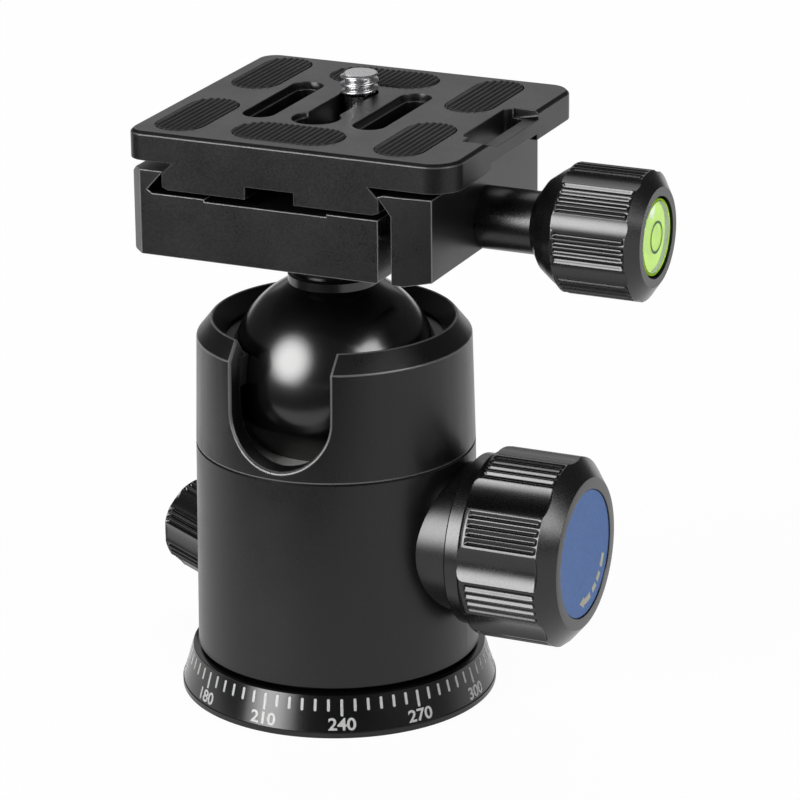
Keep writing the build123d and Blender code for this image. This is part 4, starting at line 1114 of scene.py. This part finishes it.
def ribbed_pads(places, size):
    """Rubber pads with round ends, each a bed with half round ribs along Y."""
    pads = bmesh.new()
    radius = min(size) / 2
    stretch = Vector((size[0] / 2 - radius, size[1] / 2 - radius, 0))
    bed = bmesh.new()
    bmesh.ops.create_circle(bed, cap_ends=True, segments=PAD_STEPS, radius=(radius - PAD_GAP) * MM)
    bed.transform(Matrix.Rotation(math.pi / PAD_STEPS, 4, "Z"))
    for vert in bed.verts:
        vert.co.x += math.copysign(stretch.x * MM, vert.co.x)
        vert.co.y += math.copysign(stretch.y * MM, vert.co.y)
    raised = bmesh.ops.extrude_face_region(bed, geom=bed.faces[:])
    top = [item for item in raised["geom"] if isinstance(item, bmesh.types.BMVert)]
    bmesh.ops.translate(bed, vec=(0, 0, (PAD_BED - PAD_FLOOR) * MM), verts=top)
    bmesh.ops.translate(bed, vec=(0, 0, PAD_FLOOR * MM), verts=bed.verts)
    bmesh.ops.recalc_face_normals(bed, faces=bed.faces)
    half = RIB_WIDTH / 2
    count = int(size[0] / RIB_PITCH)
    for x, y in places:
        stamp(pads, bed, Matrix.Translation((x * MM, y * MM, 0)))
        for index in range(count):
            across = (index - (count - 1) / 2) * RIB_PITCH
            beyond = max(abs(across) - stretch.x, 0.0)
            reach = stretch.y + math.sqrt(max(radius**2 - beyond**2, 0.01))
            rib = bmesh.new()
            bmesh.ops.create_uvsphere(rib, u_segments=12, v_segments=7, radius=1.0)
            rib.transform(Matrix.Rotation(math.pi / 2, 4, "X"))
            bmesh.ops.scale(rib, vec=(half * MM, half * MM, RIB_HEIGHT * MM), verts=rib.verts)
            for vert in rib.verts:
                vert.co.y += math.copysign(max(reach - half, 0.0) * MM, vert.co.y)
            place = Matrix.Translation(((x + across) * MM, y * MM, (RIB_TOP - RIB_HEIGHT) * MM))
            stamp(pads, rib, place)
            rib.free()
    bed.free()
    return pads


pads = smooth_piece("corner_ribs", ribbed_pads(CORNER_PADS, CORNER_SIZE), pad_rubber, "plate")
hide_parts("corner_pads")
pads = smooth_piece("centre_ribs", ribbed_pads(CENTRE_PADS, CENTRE_SIZE), pad_rubber, "plate")
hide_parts("centre_pads")

# ---- Camera screw ----------------------------------------------------------------------
# The 1/4 inch screw is turned from stainless steel and polished. A white washer keeps it in
# the plate, and its head has a coin slot below.
SCREW_PLACE = (-0.7 * MM, 12.5 * MM, 0)
SHANK_TOP = 99.4
THREAD_LOW = 99.45
THREAD_HIGH = 102.8
THREAD_PITCH = 1.27
THREAD_TURNS = 5
THREAD_STEPS = 64
THREAD_RADIUS = 3.175
THREAD_ROOT = 2.45
CREST_SIDE = THREAD_RADIUS - 0.03
TIP_CHAMFER = 0.3
paint(washer_white, "camera_washer")
polished_steel = blasted_finish(
    "polished_steel", (0.42, 0.42, 0.43), (0.56, 0.56, 0.57), 0.22, 0.32, depth=0.0, metallic=1.0
)


def close_up(shape):
    """Fills a mesh's open ends and turns all its faces outwards."""
    open_edges = [edge for edge in shape.edges if edge.is_boundary]
    bmesh.ops.holes_fill(shape, edges=open_edges, sides=0)
    bmesh.ops.recalc_face_normals(shape, faces=shape.faces)


# One turn of the thread's section: the climb from its foot, and the radius there.
thread_section = (
    (0.0, THREAD_ROOT),
    (0.16, THREAD_ROOT),
    (0.56, CREST_SIDE),
    (0.64, THREAD_RADIUS),
    (0.79, THREAD_RADIUS),
    (0.87, CREST_SIDE),
)
thread = bmesh.new()
line = []
for turn in range(THREAD_TURNS):
    foot = THREAD_LOW + (turn - 1) * THREAD_PITCH
    for climb, radius in thread_section:
        line.append(thread.verts.new((radius * MM, 0, (foot + climb) * MM)))
line.append(thread.verts.new((THREAD_ROOT * MM, 0, (foot + THREAD_PITCH) * MM)))
edges = [thread.edges.new(pair) for pair in zip(line, line[1:])]
bmesh.ops.spin(
    thread,
    geom=line + edges,
    cent=(0, 0, 0),
    axis=(0, 0, 1),
    dvec=(0, 0, THREAD_PITCH * MM / THREAD_STEPS),
    angle=2 * math.pi,
    steps=THREAD_STEPS,
)
bmesh.ops.remove_doubles(thread, verts=thread.verts, dist=0.002 * MM)
split_at(thread, (0, 0, THREAD_HIGH * MM), (0, 0, 1), clear_beyond=True)
split_at(thread, (0, 0, (THREAD_HIGH - TIP_CHAMFER / 2) * MM), (0, 0, 1))
split_at(thread, (0, 0, THREAD_LOW * MM), (0, 0, -1), clear_beyond=True)
for vert in thread.verts:
    reach = math.hypot(vert.co.x, vert.co.y)
    room = (THREAD_RADIUS - TIP_CHAMFER) * MM + max(THREAD_HIGH * MM - vert.co.z, 0.0)
    if reach > room:
        vert.co.x *= room / reach
        vert.co.y *= room / reach
close_up(thread)

shank = welded_copy("camera_screw")
split_at(shank, (0, 0, SHANK_TOP * MM), (0, 0, 1), clear_beyond=True)
close_up(shank)
stamp(shank, thread, Matrix.Translation(SCREW_PLACE))
thread.free()
screw = smooth_piece("camera_thread", shank, polished_steel, "camera_screw")
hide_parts("camera_screw")
